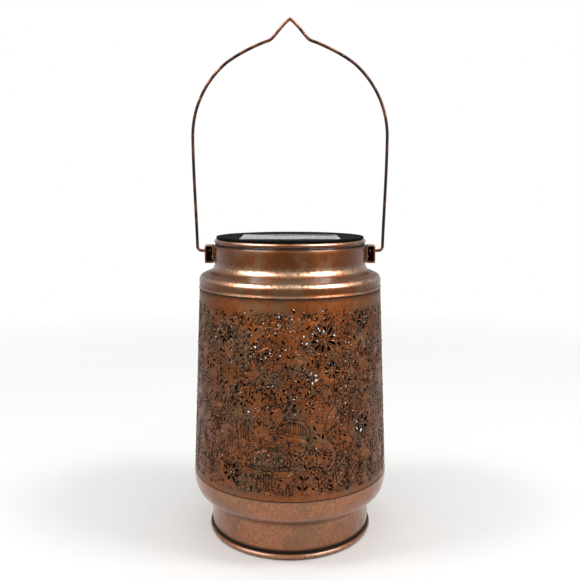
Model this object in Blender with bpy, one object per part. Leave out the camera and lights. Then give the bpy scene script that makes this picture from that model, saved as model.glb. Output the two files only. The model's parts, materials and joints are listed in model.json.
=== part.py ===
"""Solar garden lantern: pierced sheet-metal body on a rolled foot, wire bail and lift-out solar lamp.

Units are metres, +Z is up, the lantern stands on Z = 0 with its axis on Z, its front faces -Y
and its bail turns on a line along X.
"""

import math

import bmesh
import bpy
from mathutils import Matrix, Vector
from mathutils.geometry import delaunay_2d_cdt, interpolate_bezier, intersect_point_quad_2d

# Sheet metal and clearances
SHEET = 0.0006
FIT_GAP = 0.0003
LAMINATE_GAP = 0.0001
RUNNING_GAP = 0.00025
TURNED_STEPS = 40
SMALL_STEPS = 12

# Lantern body, from the ground up
FOOT_HEIGHT = 0.0243
BOWL_HEIGHT = 0.0172
SLEEVE_HEIGHT = 0.1185
COLLAR_HEIGHT = 0.0306
NECK_RADIUS = 0.0483
SHOULDER_STEP = 0.0097
SLEEVE_FLARE = 0.0050
FOOT_SETBACK = 0.0113
SKIRT_PROUD = 0.0003
BOWL_PROUD = 0.0001
LAP_HEIGHT = 0.0040

# Foot ring: a strip with a welding flange on top and a rolled bead on the ground
FOOT_FLANGE = 0.0050
BEAD_RADIUS = 0.00185
BEAD_PROUD = 0.0016
BEAD_FLAT_ANGLE = math.radians(20)

# Bowl: a straight band, then a full round down to the foot
BOWL_BAND = 0.0020
BOWL_TUCK = 0.0013
BOWL_FULLNESS = 2.6

# Collar: a curled rim, a straight neck, a hollow fillet and a rolled shoulder
RIM_CURL = 0.0015
RIM_INSET = 0.0016
NECK_GROOVE = 0.0006
GROOVE_DROP = 1.25
FILLET_RADIUS = 0.0050
ROLL_RADIUS = 0.0037
SHOULDER_SLOPE = math.radians(24)
SKIRT_HEIGHT = 0.0051

# Pierced pattern: three equal fields round the sleeve
PATTERN_FIELDS = 3
SEAM_OPENING = 0.0004
PETAL_ROOT = 0.34
PETAL_WIDTH = 0.30
PETAL_WIDEST = 0.74
LEAF_WIDEST = 0.45
LEAF_WIDTH = 0.36
LEAF_ANGLE = 38
LEAF_ROOT = 0.25

# Lugs and their rivets
LUG_SHEET = 0.0009
LUG_REACH = 0.0061
LUG_HEIGHT = 0.0116
LUG_WIDTH = 0.0070
LUG_DROP = 0.0040
RIVET_RADIUS = 0.0010
RIVET_HEAD = 0.0017
RIVET_HEAD_HEIGHT = 0.0007
RIVET_CROWN = 0.7
RIVET_RISE = 0.0037

# Bail
WIRE_RADIUS = 0.00095
WIRE_HEAD = 0.0017
WIRE_HEAD_LENGTH = 0.0009
PIVOT_DROP = 0.0079
BAIL_STANDOFF = 0.0049
BAIL_BEND = 0.0028
BAIL_SPREAD = 0.0017
BAIL_LEG = 0.0708
BAIL_ARCH = 0.0713
BAIL_LEG_LEAN = 0.0004
BAIL_LEG_POINTS = 9

# The arch above the legs: shares of its half width and height along three curves, and their points
ARCH_RUNS = (
    (((1, 0), (1, 0.249), (0.8715, 0.468), (0.672, 0.618)), 12),
    (((0.672, 0.618), (0.563, 0.700), (0.319, 0.795), (0.218, 0.821)), 8),
    (((0.218, 0.821), (0.162, 0.835), (0.093, 0.950), (0, 1)), 8),
)

# Lid
LID_OVERHANG = 0.0002
LID_FLANGE = 0.0010
LID_LIP_WIDTH = 0.0012
LID_LIP_RISE = 0.0003
LID_PLAY = 0.0004
LID_WALL = 0.0020
LID_PLATE = 0.0016
LID_SKIRT = 0.0100
POCKET_DEPTH = 0.0020
PANEL_MARGIN = 0.0058
PANEL_ASPECT = 0.87
PANEL_BOARD = 0.0008
CELL_COUNT = 4
CELL_THICKNESS = 0.00025
CELL_SPACING = 0.0008
CELL_BORDER = 0.0022
GLAZE_THICKNESS = 0.00045

# Lamp housing under the lid
HOUSING_WALL = 0.0016
HOUSING_DEPTH = 0.0160
HOUSING_FLANGE = 0.0043
HOUSING_PLAY = 0.0005
LID_BOSS_RADIUS = 0.0030
LID_BOSS_LENGTH = 0.0024
SCREW_RADIUS = 0.0009
SCREW_HEAD_RADIUS = 0.0019
SCREW_HEAD_HEIGHT = 0.0012
SCREW_CROWN = 0.75
SCREW_BITE = 0.0026
SCREW_COUNT = 3

# Battery bay: the battery is as long as the housing allows, less the room for what sits beyond each end
BATTERY_RADIUS = 0.00525
BATTERY_END_ROOM = 0.01415
BATTERY_STEPS = 24
BATTERY_NUB_RADIUS = 0.0019
BATTERY_NUB = 0.0008
BATTERY_OFFSET = 0.0120
SPRING_LENGTH = 0.0034
SPRING_WIRE = 0.00035
SPRING_TURNS = 3.5
SPRING_WIDE = 0.0036
SPRING_NARROW = 0.0021
CONTACT_SHEET = 0.0004
CONTACT_SHARE = 1.5
RIB = 0.0012
RIB_HEIGHT_SHARE = 1.7
RIB_WIDTH_SHARE = 1.6
DOOR_BOSS_RADIUS = 0.0023
DOOR_BOSS_LENGTH = 0.0060
DOOR_LAP = 0.0015
DOOR_PLATE = 0.0014

# Circuit board, lamp and switch
BOARD_SIZE = (0.0360, 0.0220)
BOARD_THICKNESS = 0.0012
BOARD_LIFT = 0.0052
BOARD_CENTRE_Y = -0.0090
POST_RADIUS = 0.0018
PIN_RADIUS = 0.0009
LED_RADIUS = 0.0025
LED_FLANGE = 0.0004
LED_FLANGE_HEIGHT = 0.0010
LED_BARREL = 0.0044
LED_LEG_RADIUS = 0.0003
LED_LEG_SPACING = 0.00254
SWITCH_BODY = (0.0090, 0.0040, 0.0026)
SWITCH_Y = -0.0150
SWITCH_TRAVEL = 0.0022
SWITCH_POCKET_SHARE = 0.6
KNOB_SIZE = (0.0024, 0.0018)
KNOB_PROUD = 0.0018
CHIP_SIZE = (0.0040, 0.0030, 0.0018)
COIL_RADIUS = 0.0016
COIL_LENGTH = 0.0075
COIL_EYE = 0.6
COIL_WAIST = 0.85
LEAD_RADIUS = 0.0006
LEAD_POINTS = 9
LONG_LEAD_POINTS = 14
LEAD_LEAVE = 0.9

# Levels and radii that follow
SEAM_LOW = FOOT_HEIGHT + FIT_GAP + BOWL_HEIGHT
SEAM_HIGH = SEAM_LOW + SLEEVE_HEIGHT
RIM_TOP = SEAM_HIGH + COLLAR_HEIGHT
SLEEVE_TOP_RADIUS = NECK_RADIUS + SHOULDER_STEP
SLEEVE_BOTTOM_RADIUS = SLEEVE_TOP_RADIUS + SLEEVE_FLARE
SKIRT_RADIUS = SLEEVE_TOP_RADIUS + SKIRT_PROUD
BOWL_RADIUS = SLEEVE_BOTTOM_RADIUS + BOWL_PROUD
FOOT_RADIUS = BOWL_RADIUS - FOOT_SETBACK
PIVOT_Z = RIM_TOP - PIVOT_DROP
LUG_OUTER = NECK_RADIUS + LUG_REACH
LUG_TOP = RIM_TOP - LUG_DROP
LUG_MIDDLE = LUG_TOP - LUG_HEIGHT / 2
RIVET_Z = LUG_TOP - LUG_HEIGHT + RIVET_RISE
BAIL_FOOT_X = LUG_OUTER + BAIL_STANDOFF
RIM_RADIUS = NECK_RADIUS - RIM_INSET
RIM_INNER = RIM_RADIUS - RIM_CURL

# The lid and lamp housing, measured from the rim that the lid rests on
LID_RADIUS = RIM_RADIUS + LID_OVERHANG
LID_TOP = FIT_GAP + LID_FLANGE
PLUG_RADIUS = RIM_INNER - LID_PLAY
PLUG_INNER = PLUG_RADIUS - LID_WALL
POCKET_FLOOR = LID_TOP - POCKET_DEPTH
PLATE_BOTTOM = POCKET_FLOOR - LID_PLATE
BOSS_BOTTOM = PLATE_BOTTOM - LID_BOSS_LENGTH
HOUSING_TOP = BOSS_BOTTOM - FIT_GAP
HOUSING_BOTTOM = HOUSING_TOP - HOUSING_DEPTH
FLOOR_TOP = HOUSING_BOTTOM + HOUSING_WALL
FLANGE_RADIUS = PLUG_INNER - HOUSING_PLAY
HOUSING_RADIUS = FLANGE_RADIUS - HOUSING_FLANGE
HOUSING_INNER = HOUSING_RADIUS - HOUSING_WALL
BATTERY_LENGTH = 2 * (HOUSING_INNER - BATTERY_END_ROOM)
SCREW_CIRCLE = (FLANGE_RADIUS + HOUSING_RADIUS) / 2
PANEL_WIDTH = 2 * (LID_RADIUS - PANEL_MARGIN) / math.hypot(1, PANEL_ASPECT)
PANEL_DEPTH = PANEL_WIDTH * PANEL_ASPECT
BATTERY_Z = FLOOR_TOP + FIT_GAP + BATTERY_RADIUS
BAY_HALF = (BATTERY_LENGTH + SPRING_LENGTH + 2 * CONTACT_SHEET + 5 * FIT_GAP) / 2
BAY_WIDTH = 2 * (BATTERY_RADIUS + FIT_GAP)
DOOR_SCREW_X = BAY_HALF + RIB + DOOR_BOSS_RADIUS + FIT_GAP
BOARD_BOTTOM = FLOOR_TOP + BOARD_LIFT
BOARD_TOP = BOARD_BOTTOM + BOARD_THICKNESS
POST_X = BOARD_SIZE[0] / 2 - 2 * POST_RADIUS
POST_Y = BOARD_CENTRE_Y - BOARD_SIZE[1] / 2 + 2 * POST_RADIUS

FINISHES = {
    "copper": ((0.42, 0.17, 0.07), 0.34, 1.0),
    "dark_wire": ((0.12, 0.05, 0.03), 0.45, 1.0),
    "black_plastic": ((0.02, 0.02, 0.02), 0.25, 0.0),
    "housing_plastic": ((0.05, 0.05, 0.05), 0.5, 0.0),
    "cell": ((0.02, 0.03, 0.09), 0.2, 0.3),
    "glaze": ((0.75, 0.78, 0.76), 0.08, 0.0),
    "board": ((0.03, 0.20, 0.08), 0.45, 0.0),
    "steel": ((0.62, 0.62, 0.60), 0.3, 1.0),
    "battery": ((0.10, 0.32, 0.18), 0.35, 0.0),
    "led": ((0.95, 0.90, 0.70), 0.12, 0.0),
    "red_lead": ((0.50, 0.03, 0.02), 0.5, 0.0),
    "black_lead": ((0.02, 0.02, 0.02), 0.5, 0.0),
}


def clear_scene():
    """Remove every object that the file starts with."""
    for obj in list(bpy.data.objects):
        bpy.data.objects.remove(obj, do_unlink=True)


def material(finish):
    """The Principled material of a named finish, made once."""
    found = bpy.data.materials.get(finish)
    if found:
        return found
    colour, roughness, metallic = FINISHES[finish]
    made = bpy.data.materials.new(finish)
    made.use_nodes = True
    shader = made.node_tree.nodes["Principled BSDF"]
    shader.inputs["Base Color"].default_value = (*colour, 1.0)
    shader.inputs["Roughness"].default_value = roughness
    shader.inputs["Metallic"].default_value = metallic
    return made


def add_empty(name, location=(0, 0, 0), parent=None):
    """An axis that pieces hang on."""
    empty = bpy.data.objects.new(name, None)
    empty.location = location
    empty.parent = parent
    bpy.context.scene.collection.objects.link(empty)
    return empty


def add_piece(name, data, finish, parent=None, location=(0, 0, 0), rotation=(0, 0, 0)):
    """One named piece with its finish, placed under its parent."""
    piece = bpy.data.objects.new(name, data)
    piece.location = location
    piece.rotation_euler = rotation
    piece.parent = parent
    data.materials.append(material(finish))
    if piece.type == "MESH":
        data.shade_smooth()
        data.set_sharp_from_angle(angle=math.radians(35))
    bpy.context.scene.collection.objects.link(piece)
    return piece


def add_tool(name, mesh, parent=None):
    """A helper body for a Boolean, left out of renders."""
    tool = bpy.data.objects.new(name, mesh)
    tool.parent = parent
    tool.hide_render = True
    tool.display_type = "WIRE"
    bpy.context.scene.collection.objects.link(tool)
    return tool


def combine(piece, tool, operation="DIFFERENCE"):
    """Cut a tool from a piece, or join it, with the exact solver."""
    modifier = piece.modifiers.new(tool.name, "BOOLEAN")
    modifier.operation = operation
    modifier.solver = "EXACT"
    modifier.object = tool


def finished_mesh(bm, name):
    """Write a bmesh, with its normals turned outwards, to a new mesh."""
    bmesh.ops.recalc_face_normals(bm, faces=bm.faces)
    mesh = bpy.data.meshes.new(name)
    bm.to_mesh(mesh)
    bm.free()
    return mesh


def turned(name, profile, steps=TURNED_STEPS, closed=False):
    """Spin a profile of (radius, height) points about Z. Only a closed one joins its two ends."""
    bm = bmesh.new()
    verts = [bm.verts.new((radius, 0, height)) for radius, height in profile]
    pairs = list(zip(verts, verts[1:]))
    if closed:
        pairs.append((verts[-1], verts[0]))
    edges = [bm.edges.new(pair) for pair in pairs]
    bmesh.ops.spin(
        bm, geom=verts + edges, cent=(0, 0, 0), axis=(0, 0, 1), angle=math.tau, steps=steps, use_merge=True
    )
    bmesh.ops.remove_doubles(bm, verts=bm.verts, dist=1e-6)
    return finished_mesh(bm, name)


def add_box(bm, centre, size):
    """Add a box to a bmesh."""
    made = bmesh.ops.create_cube(bm, size=1)["verts"]
    bmesh.ops.scale(bm, verts=made, vec=size)
    bmesh.ops.translate(bm, verts=made, vec=centre)


def add_rod(bm, base, radius, length, steps=SMALL_STEPS):
    """Add an upright rod, standing on its base point, to a bmesh."""
    made = bmesh.ops.create_cone(
        bm, cap_ends=True, segments=steps, radius1=radius, radius2=radius, depth=length
    )["verts"]
    bmesh.ops.translate(bm, verts=made, vec=Vector(base) + Vector((0, 0, length / 2)))


def cross_rod(name, start_x, end_x, z, radius):
    """A rod along X at a height, to cut a bore with."""
    bm = bmesh.new()
    centre = Matrix.Translation(((start_x + end_x) / 2, 0, z))
    lying = centre @ Matrix.Rotation(math.pi / 2, 4, "Y")
    bmesh.ops.create_cone(
        bm,
        cap_ends=True,
        segments=SMALL_STEPS,
        radius1=radius,
        radius2=radius,
        depth=abs(end_x - start_x),
        matrix=lying,
    )
    return finished_mesh(bm, name)


def solid_of(name, boxes=(), rods=()):
    """A mesh of separate boxes (centre, size) and upright rods (base, radius, length)."""
    bm = bmesh.new()
    for centre, size in boxes:
        add_box(bm, centre, size)
    for base, radius, length in rods:
        add_rod(bm, base, radius, length)
    return finished_mesh(bm, name)


def arc(centre, radius, start, end, count):
    """Points (radius, height) along an arc, from a start angle to an end angle in degrees."""
    angles = [math.radians(start + (end - start) * i / count) for i in range(count + 1)]
    return [(centre[0] + radius * math.cos(a), centre[1] + radius * math.sin(a)) for a in angles]


def sheet_metal(piece):
    """Give a surface the sheet's thickness, away from its outer side."""
    modifier = piece.modifiers.new("sheet", "SOLIDIFY")
    modifier.thickness = SHEET
    modifier.offset = -1
    modifier.use_even_offset = True


def sleeve_radius(z):
    """The sleeve's outer radius at a height."""
    return SLEEVE_BOTTOM_RADIUS - SLEEVE_FLARE * (z - SEAM_LOW) / SLEEVE_HEIGHT


def foot_ring(parent):
    """Rolled strip foot: flange, wall, and a bead that is flat where it stands."""
    bead = FOOT_RADIUS + BEAD_PROUD - BEAD_RADIUS
    inner = FOOT_RADIUS - SHEET
    neck = BEAD_RADIUS * 2 + SHEET
    flat = BEAD_RADIUS * math.sin(BEAD_FLAT_ANGLE)
    flange = FOOT_RADIUS - FOOT_FLANGE
    profile = [(flange, FOOT_HEIGHT), (FOOT_RADIUS - SHEET / 2, FOOT_HEIGHT)]
    profile += [(FOOT_RADIUS, FOOT_HEIGHT - SHEET / 2), (FOOT_RADIUS, neck)]
    profile += arc((bead, BEAD_RADIUS), BEAD_RADIUS, 70, -50, 4)
    profile += [(bead + flat, 0), (bead - flat, 0)]
    profile += arc((bead, BEAD_RADIUS), BEAD_RADIUS, 230, 140, 3)
    profile += [(inner, neck), (inner, FOOT_HEIGHT - SHEET), (flange, FOOT_HEIGHT - SHEET)]
    return add_piece("foot_ring", turned("foot_ring", profile, closed=True), "copper", parent)


def base_bowl(parent):
    """Drawn bowl: a lap inside the sleeve, a band, a full round and a flat floor."""
    floor = FOOT_HEIGHT + FIT_GAP
    lap = sleeve_radius(SEAM_LOW + LAP_HEIGHT) - SHEET - FIT_GAP
    wide = FOOT_SETBACK + BOWL_TUCK
    deep = BOWL_HEIGHT - BOWL_BAND
    profile = [(lap, SEAM_LOW + LAP_HEIGHT), (lap, SEAM_LOW), (BOWL_RADIUS, SEAM_LOW)]
    for fall in (0, 0.36, 0.6, 0.77, 0.89, 0.965, 1):
        reach = (1 - fall**BOWL_FULLNESS) ** (1 / BOWL_FULLNESS)
        profile.append((BOWL_RADIUS - wide * (1 - reach), floor + deep * (1 - fall)))
    profile.append((0, floor))
    bowl = add_piece("base_bowl", turned("base_bowl", profile), "copper", parent)
    sheet_metal(bowl)
    return bowl


def collar_profile():
    """Outer line of the collar, from the curled rim down to the lap inside the sleeve."""
    slope = SHOULDER_SLOPE
    roll = (SLEEVE_TOP_RADIUS - ROLL_RADIUS, SEAM_HIGH + SKIRT_HEIGHT)
    roll_start = roll[0] + ROLL_RADIUS * math.sin(slope), roll[1] + ROLL_RADIUS * math.cos(slope)
    fillet_end = NECK_RADIUS + FILLET_RADIUS * (1 - math.sin(slope))
    fillet_foot = roll_start[1] + (roll_start[0] - fillet_end) * math.tan(slope)
    fillet = (NECK_RADIUS + FILLET_RADIUS, fillet_foot + FILLET_RADIUS * math.cos(slope))
    rim = (RIM_RADIUS, RIM_TOP - RIM_CURL)
    lap = SLEEVE_TOP_RADIUS - SHEET - FIT_GAP
    profile = arc(rim, RIM_CURL, 140, -60, 4)
    profile += [(NECK_RADIUS - NECK_GROOVE, rim[1] - GROOVE_DROP * RIM_CURL)]
    profile += [(NECK_RADIUS, rim[1] - 2 * RIM_CURL)]
    profile += arc(fillet, FILLET_RADIUS, 180, 270 - math.degrees(slope), 2)
    profile += arc(roll, ROLL_RADIUS, 90 - math.degrees(slope), 0, 3)
    profile += [(SLEEVE_TOP_RADIUS, SEAM_HIGH + 2 * SKIRT_PROUD), (SKIRT_RADIUS, SEAM_HIGH + SKIRT_PROUD)]
    profile += [(SKIRT_RADIUS, SEAM_HIGH), (lap, SEAM_HIGH), (lap, SEAM_HIGH - LAP_HEIGHT)]
    return profile


def shoulder_collar(parent):
    """Spun collar with the two rivet holes of the lugs."""
    collar = add_piece("shoulder_collar", turned("shoulder_collar", collar_profile()), "copper", parent)
    sheet_metal(collar)
    drill = cross_rod("collar_rivet_drill", -LUG_OUTER, LUG_OUTER, RIVET_Z, RIVET_RADIUS + RUNNING_GAP)
    combine(collar, add_tool("collar_rivet_drill", drill, parent))
    return collar


def daisy(centre, size, petals):
    """Kite-shaped openings round a centre."""
    outlines = []
    for index in range(petals):
        turn = math.tau * (index + 0.5) / petals
        along = Vector((math.cos(turn), math.sin(turn)))
        across = Vector((-along.y, along.x)) * size * PETAL_WIDTH / 2
        root, widest, tip = (Vector(centre) + along * size * s for s in (PETAL_ROOT, PETAL_WIDEST, 1))
        outlines.append([root, widest - across, tip, widest + across])
    return outlines


def leaf(root, angle, length, width):
    """One leaf-shaped opening that leaves its root at an angle in degrees."""
    along = Vector((math.cos(math.radians(angle)), math.sin(math.radians(angle))))
    across = Vector((-along.y, along.x)) * width / 2
    middle = Vector(root) + along * length * LEAF_WIDEST
    return [Vector(root), middle - across, Vector(root) + along * length, middle + across]


def sprig(root, height, leaves, length):
    """Pairs of leaf openings that rise along a stem."""
    outlines = []
    for index in range(leaves):
        level = root[1] + height * (index + 0.5) / leaves
        for side, angle in ((1, LEAF_ANGLE), (-1, 180 - LEAF_ANGLE)):
            foot = (root[0] + side * length * LEAF_ROOT, level)
            outlines.append(leaf(foot, angle, length, length * LEAF_WIDTH))
    return outlines


def field_outlines():
    """Openings of one pattern field: (distance round the sleeve, height above the lower seam)."""
    outlines = []
    outlines += daisy((0.0190, 0.0957), 0.0080, 8)
    outlines += daisy((0.0500, 0.1037), 0.0056, 6)
    outlines += daisy((0.0253, 0.0762), 0.0048, 6)
    outlines += daisy((0.0465, 0.0422), 0.0062, 6)
    outlines += daisy((-0.0359, 0.0127), 0.0064, 8)
    outlines += sprig((0.0070, 0.0060), 0.0200, 2, 0.0060)
    outlines += sprig((0.0370, 0.0080), 0.0220, 2, 0.0060)
    outlines += sprig((-0.0210, 0.0800), 0.0180, 2, 0.0060)
    outlines += sprig((-0.0440, 0.0840), 0.0180, 2, 0.0060)
    outlines.append(leaf((-0.0160, 0.0730), 100, 0.0060, 0.0024))
    outlines.append(leaf((-0.0080, 0.0780), 60, 0.0060, 0.0024))
    outlines.append(leaf((-0.0460, 0.0460), 25, 0.0080, 0.0026))
    outlines.append(leaf((-0.0480, 0.0400), 15, 0.0080, 0.0026))
    outlines.append(leaf((-0.0140, 0.0140), 90, 0.0050, 0.0020))
    outlines.append(leaf((-0.0080, 0.0140), 90, 0.0050, 0.0020))
    return outlines


def sleeve_blank(round_length, height):
    """Flat triangles of the blank, cut along the columns it is rolled by, without its openings."""
    half = round_length / 2
    field = round_length / PATTERN_FIELDS
    loops = [[Vector((-half, 0)), Vector((half, 0)), Vector((half, height)), Vector((-half, height))]]
    for index in range(PATTERN_FIELDS):
        base = Vector(((index - (PATTERN_FIELDS - 1) / 2) * field, 0))
        loops += [[base + point for point in outline] for outline in field_outlines()]
    points, edges = [], []
    for loop in loops:
        first = len(points)
        points += loop
        edges += [(first + i, first + (i + 1) % len(loop)) for i in range(len(loop))]
    for index in range(1, TURNED_STEPS):
        x = -half + round_length * index / TURNED_STEPS
        edges.append((len(points), len(points) + 1))
        points += [Vector((x, 0)), Vector((x, height))]
    flat, _, faces, _, _, _ = delaunay_2d_cdt(points, edges, [], 0, 1e-7)

    def pierced(face):
        middle = sum((flat[i] for i in face), Vector((0, 0))) / len(face)
        return any(intersect_point_quad_2d(middle, *outline) for outline in loops[1:])

    return flat, [face for face in faces if not pierced(face)]


def sleeve_mesh():
    """The blank rolled round the lantern, with its joint at the back."""
    middle_radius = (SLEEVE_TOP_RADIUS + SLEEVE_BOTTOM_RADIUS) / 2
    round_length = math.tau * middle_radius - SEAM_OPENING
    flat, faces = sleeve_blank(round_length, SLEEVE_HEIGHT - 2 * FIT_GAP)
    bm = bmesh.new()
    verts = []
    for point in flat:
        turn = point.x / middle_radius
        z = SEAM_LOW + FIT_GAP + point.y
        radius = sleeve_radius(z)
        verts.append(bm.verts.new((radius * math.sin(turn), -radius * math.cos(turn), z)))
    for face in faces:
        bm.faces.new([verts[i] for i in face])
    loose = [vert for vert in bm.verts if not vert.link_faces]
    bmesh.ops.delete(bm, geom=loose, context="VERTS")
    return finished_mesh(bm, "pierced_sleeve")


def pierced_sleeve(parent):
    """The rolled and pierced sheet between the collar and the bowl."""
    sleeve = add_piece("pierced_sleeve", sleeve_mesh(), "copper", parent)
    sheet_metal(sleeve)
    return sleeve


def lug(side, name, parent):
    """Small box that is open at its front, riveted to the neck by its inner wall."""
    inner = NECK_RADIUS + FIT_GAP
    depth = LUG_OUTER - inner
    middle_x = (inner + depth / 2) * side
    box = bmesh.new()
    add_box(box, (middle_x, 0, LUG_MIDDLE), (depth, LUG_WIDTH, LUG_HEIGHT))
    piece = add_piece(name, finished_mesh(box, name), "copper", parent)
    open_front = (middle_x, -LUG_WIDTH / 2 - LUG_SHEET, LUG_MIDDLE)
    room = (depth - 2 * LUG_SHEET, 2 * LUG_WIDTH, LUG_HEIGHT - 2 * LUG_SHEET)
    hollow = solid_of(name + "_hollow", boxes=[(open_front, room)])
    combine(piece, add_tool(name + "_hollow", hollow, parent))
    for word, wall_x, z, radius in (
        ("_wire_bore", LUG_OUTER, PIVOT_Z, WIRE_RADIUS + RUNNING_GAP),
        ("_rivet_bore", inner, RIVET_Z, RIVET_RADIUS + RUNNING_GAP),
    ):
        ends = [side * (wall_x + reach * LUG_SHEET) for reach in (-2, 2)]
        combine(piece, add_tool(name + word, cross_rod(name + word, *ends, z, radius), parent))
    return piece


def lug_rivet(side, name, parent):
    """Rivet through the lug's back and the neck wall: a head in the lug, a head inside the neck."""
    head_seat = NECK_RADIUS + FIT_GAP + LUG_SHEET + FIT_GAP
    tail_seat = NECK_RADIUS - SHEET - 2 * FIT_GAP
    profile = [
        (0, tail_seat - RIVET_HEAD_HEIGHT),
        (RIVET_HEAD * RIVET_CROWN, tail_seat - RIVET_HEAD_HEIGHT),
        (RIVET_HEAD, tail_seat),
        (RIVET_RADIUS, tail_seat),
        (RIVET_RADIUS, head_seat),
        (RIVET_HEAD, head_seat),
        (RIVET_HEAD * RIVET_CROWN, head_seat + RIVET_HEAD_HEIGHT),
        (0, head_seat + RIVET_HEAD_HEIGHT),
    ]
    mesh = turned(name, profile, SMALL_STEPS)
    return add_piece(name, mesh, "copper", parent, (0, 0, RIVET_Z), (0, side * math.pi / 2, 0))


def round_wire(name, points, radius, resolution):
    """A poly curve with a round section and filled ends."""
    curve = bpy.data.curves.new(name, "CURVE")
    curve.dimensions = "3D"
    curve.bevel_depth = radius
    curve.bevel_resolution = resolution
    curve.use_fill_caps = True
    spline = curve.splines.new("POLY")
    spline.points.add(len(points) - 1)
    for target, point in zip(spline.points, points):
        target.co = (*point, 1)
    return curve


def bezier(points, count):
    """Points along one cubic curve, given its two ends and two handles."""
    start, leave, arrive, end = [Vector((x, 0, z)) for x, z in points]
    return interpolate_bezier(start, leave, arrive, end, count)


def bail_side():
    """The bail's centre line on its +X side, from the head inside the lug up to the peak."""
    widest = BAIL_FOOT_X + BAIL_SPREAD

    def arch(share_x, share_z):
        return widest * share_x, BAIL_LEG + BAIL_ARCH * share_z

    head_end = NECK_RADIUS + FIT_GAP + LUG_SHEET + FIT_GAP + RIVET_HEAD_HEIGHT + FIT_GAP
    points = [Vector((head_end, 0, 0)), Vector((head_end + WIRE_HEAD_LENGTH, 0, 0))]
    points += [Vector((head_end + WIRE_HEAD_LENGTH + FIT_GAP, 0, 0))]
    bend = arc((BAIL_FOOT_X - BAIL_BEND, BAIL_BEND), BAIL_BEND, -90, 0, 4)
    points += [Vector((x, 0, z)) for x, z in bend]
    foot = (BAIL_FOOT_X, BAIL_BEND)
    leg = [foot, (BAIL_FOOT_X + BAIL_LEG_LEAN, BAIL_LEG * 0.35), arch(1, -0.35), arch(1, 0)]
    points += bezier(leg, BAIL_LEG_POINTS)[1:]
    for shares, count in ARCH_RUNS:
        points += bezier([arch(*share) for share in shares], count)[1:]
    return points


def bail_wire(parent):
    """One bent wire with an upset head at each end."""
    right = bail_side()
    left = [Vector((-point.x, point.y, point.z)) for point in right]
    curve = round_wire("bail_wire", right + left[-2::-1], WIRE_RADIUS, 2)
    for index in (0, 1, -2, -1):
        curve.splines[0].points[index].radius = WIRE_HEAD / WIRE_RADIUS
    return add_piece("bail_wire", curve, "dark_wire", parent)


def screw(name, seat, length, parent, location):
    """Pan-head screw that points up from its seat."""
    profile = [
        (0, seat - SCREW_HEAD_HEIGHT),
        (SCREW_HEAD_RADIUS * SCREW_CROWN, seat - SCREW_HEAD_HEIGHT),
        (SCREW_HEAD_RADIUS, seat - SCREW_HEAD_HEIGHT / 2),
        (SCREW_HEAD_RADIUS, seat),
        (SCREW_RADIUS, seat),
        (SCREW_RADIUS, seat + length - SCREW_RADIUS),
        (0, seat + length),
    ]
    return add_piece(name, turned(name, profile, SMALL_STEPS), "steel", parent, location)


def screw_places():
    """Where the housing's screws stand, evenly round the flange with one at the back."""
    angles = [math.pi / 2 + math.tau * index / SCREW_COUNT for index in range(SCREW_COUNT)]
    return [(SCREW_CIRCLE * math.cos(a), SCREW_CIRCLE * math.sin(a), 0) for a in angles]


def door_screw_places():
    """Where the battery door's two screws stand."""
    return [(side * DOOR_SCREW_X, BATTERY_OFFSET) for side in (-1, 1)]


def lead_holes():
    """Where the panel's two leads pass down through the lid."""
    return [(side * 4 * LEAD_RADIUS, BOARD_CENTRE_Y, 0) for side in (-1, 1)]


def lid_cover(parent):
    """Moulded lid: flange and lip on the rim, a plug skirt in the neck, a panel pocket and screw bosses."""
    chamfer = LID_LIP_RISE
    profile = [
        (0, LID_TOP),
        (LID_RADIUS - LID_LIP_WIDTH, LID_TOP),
        (LID_RADIUS - LID_LIP_WIDTH, LID_TOP + LID_LIP_RISE),
        (LID_RADIUS - chamfer, LID_TOP + LID_LIP_RISE),
        (LID_RADIUS, LID_TOP),
        (LID_RADIUS, FIT_GAP),
        (PLUG_RADIUS, FIT_GAP),
        (PLUG_RADIUS, -LID_SKIRT),
        (PLUG_INNER, -LID_SKIRT),
        (PLUG_INNER, PLATE_BOTTOM),
        (0, PLATE_BOTTOM),
    ]
    cover = add_piece("lid_cover", turned("lid_cover", profile), "black_plastic", parent)
    sunk = LID_PLATE / 2
    boss = LID_BOSS_LENGTH + sunk
    bosses = [((x, y, BOSS_BOTTOM), LID_BOSS_RADIUS, boss) for x, y, _ in screw_places()]
    combine(cover, add_tool("lid_bosses", solid_of("lid_bosses", rods=bosses), parent), "UNION")
    pocket_size = (PANEL_WIDTH + 2 * FIT_GAP, PANEL_DEPTH + 2 * FIT_GAP, 2 * POCKET_DEPTH)
    pocket = [((0, 0, LID_TOP), pocket_size)]
    pilot, bite = SCREW_RADIUS + RUNNING_GAP, SCREW_BITE + FIT_GAP + sunk
    holes = [((x, y, BOSS_BOTTOM - sunk), pilot, bite) for x, y, _ in screw_places()]
    grommet, through = LEAD_RADIUS + 2 * RUNNING_GAP, LID_PLATE + 2 * sunk
    holes += [((x, y, PLATE_BOTTOM - sunk), grommet, through) for x, y, _ in lead_holes()]
    combine(cover, add_tool("lid_pocket", solid_of("lid_pocket", boxes=pocket), parent))
    combine(cover, add_tool("lid_drills", solid_of("lid_drills", rods=holes), parent))
    return cover


def slab(name, centre, size, finish, parent):
    """A plain rectangular plate."""
    return add_piece(name, solid_of(name, boxes=[(centre, size)]), finish, parent)


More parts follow.
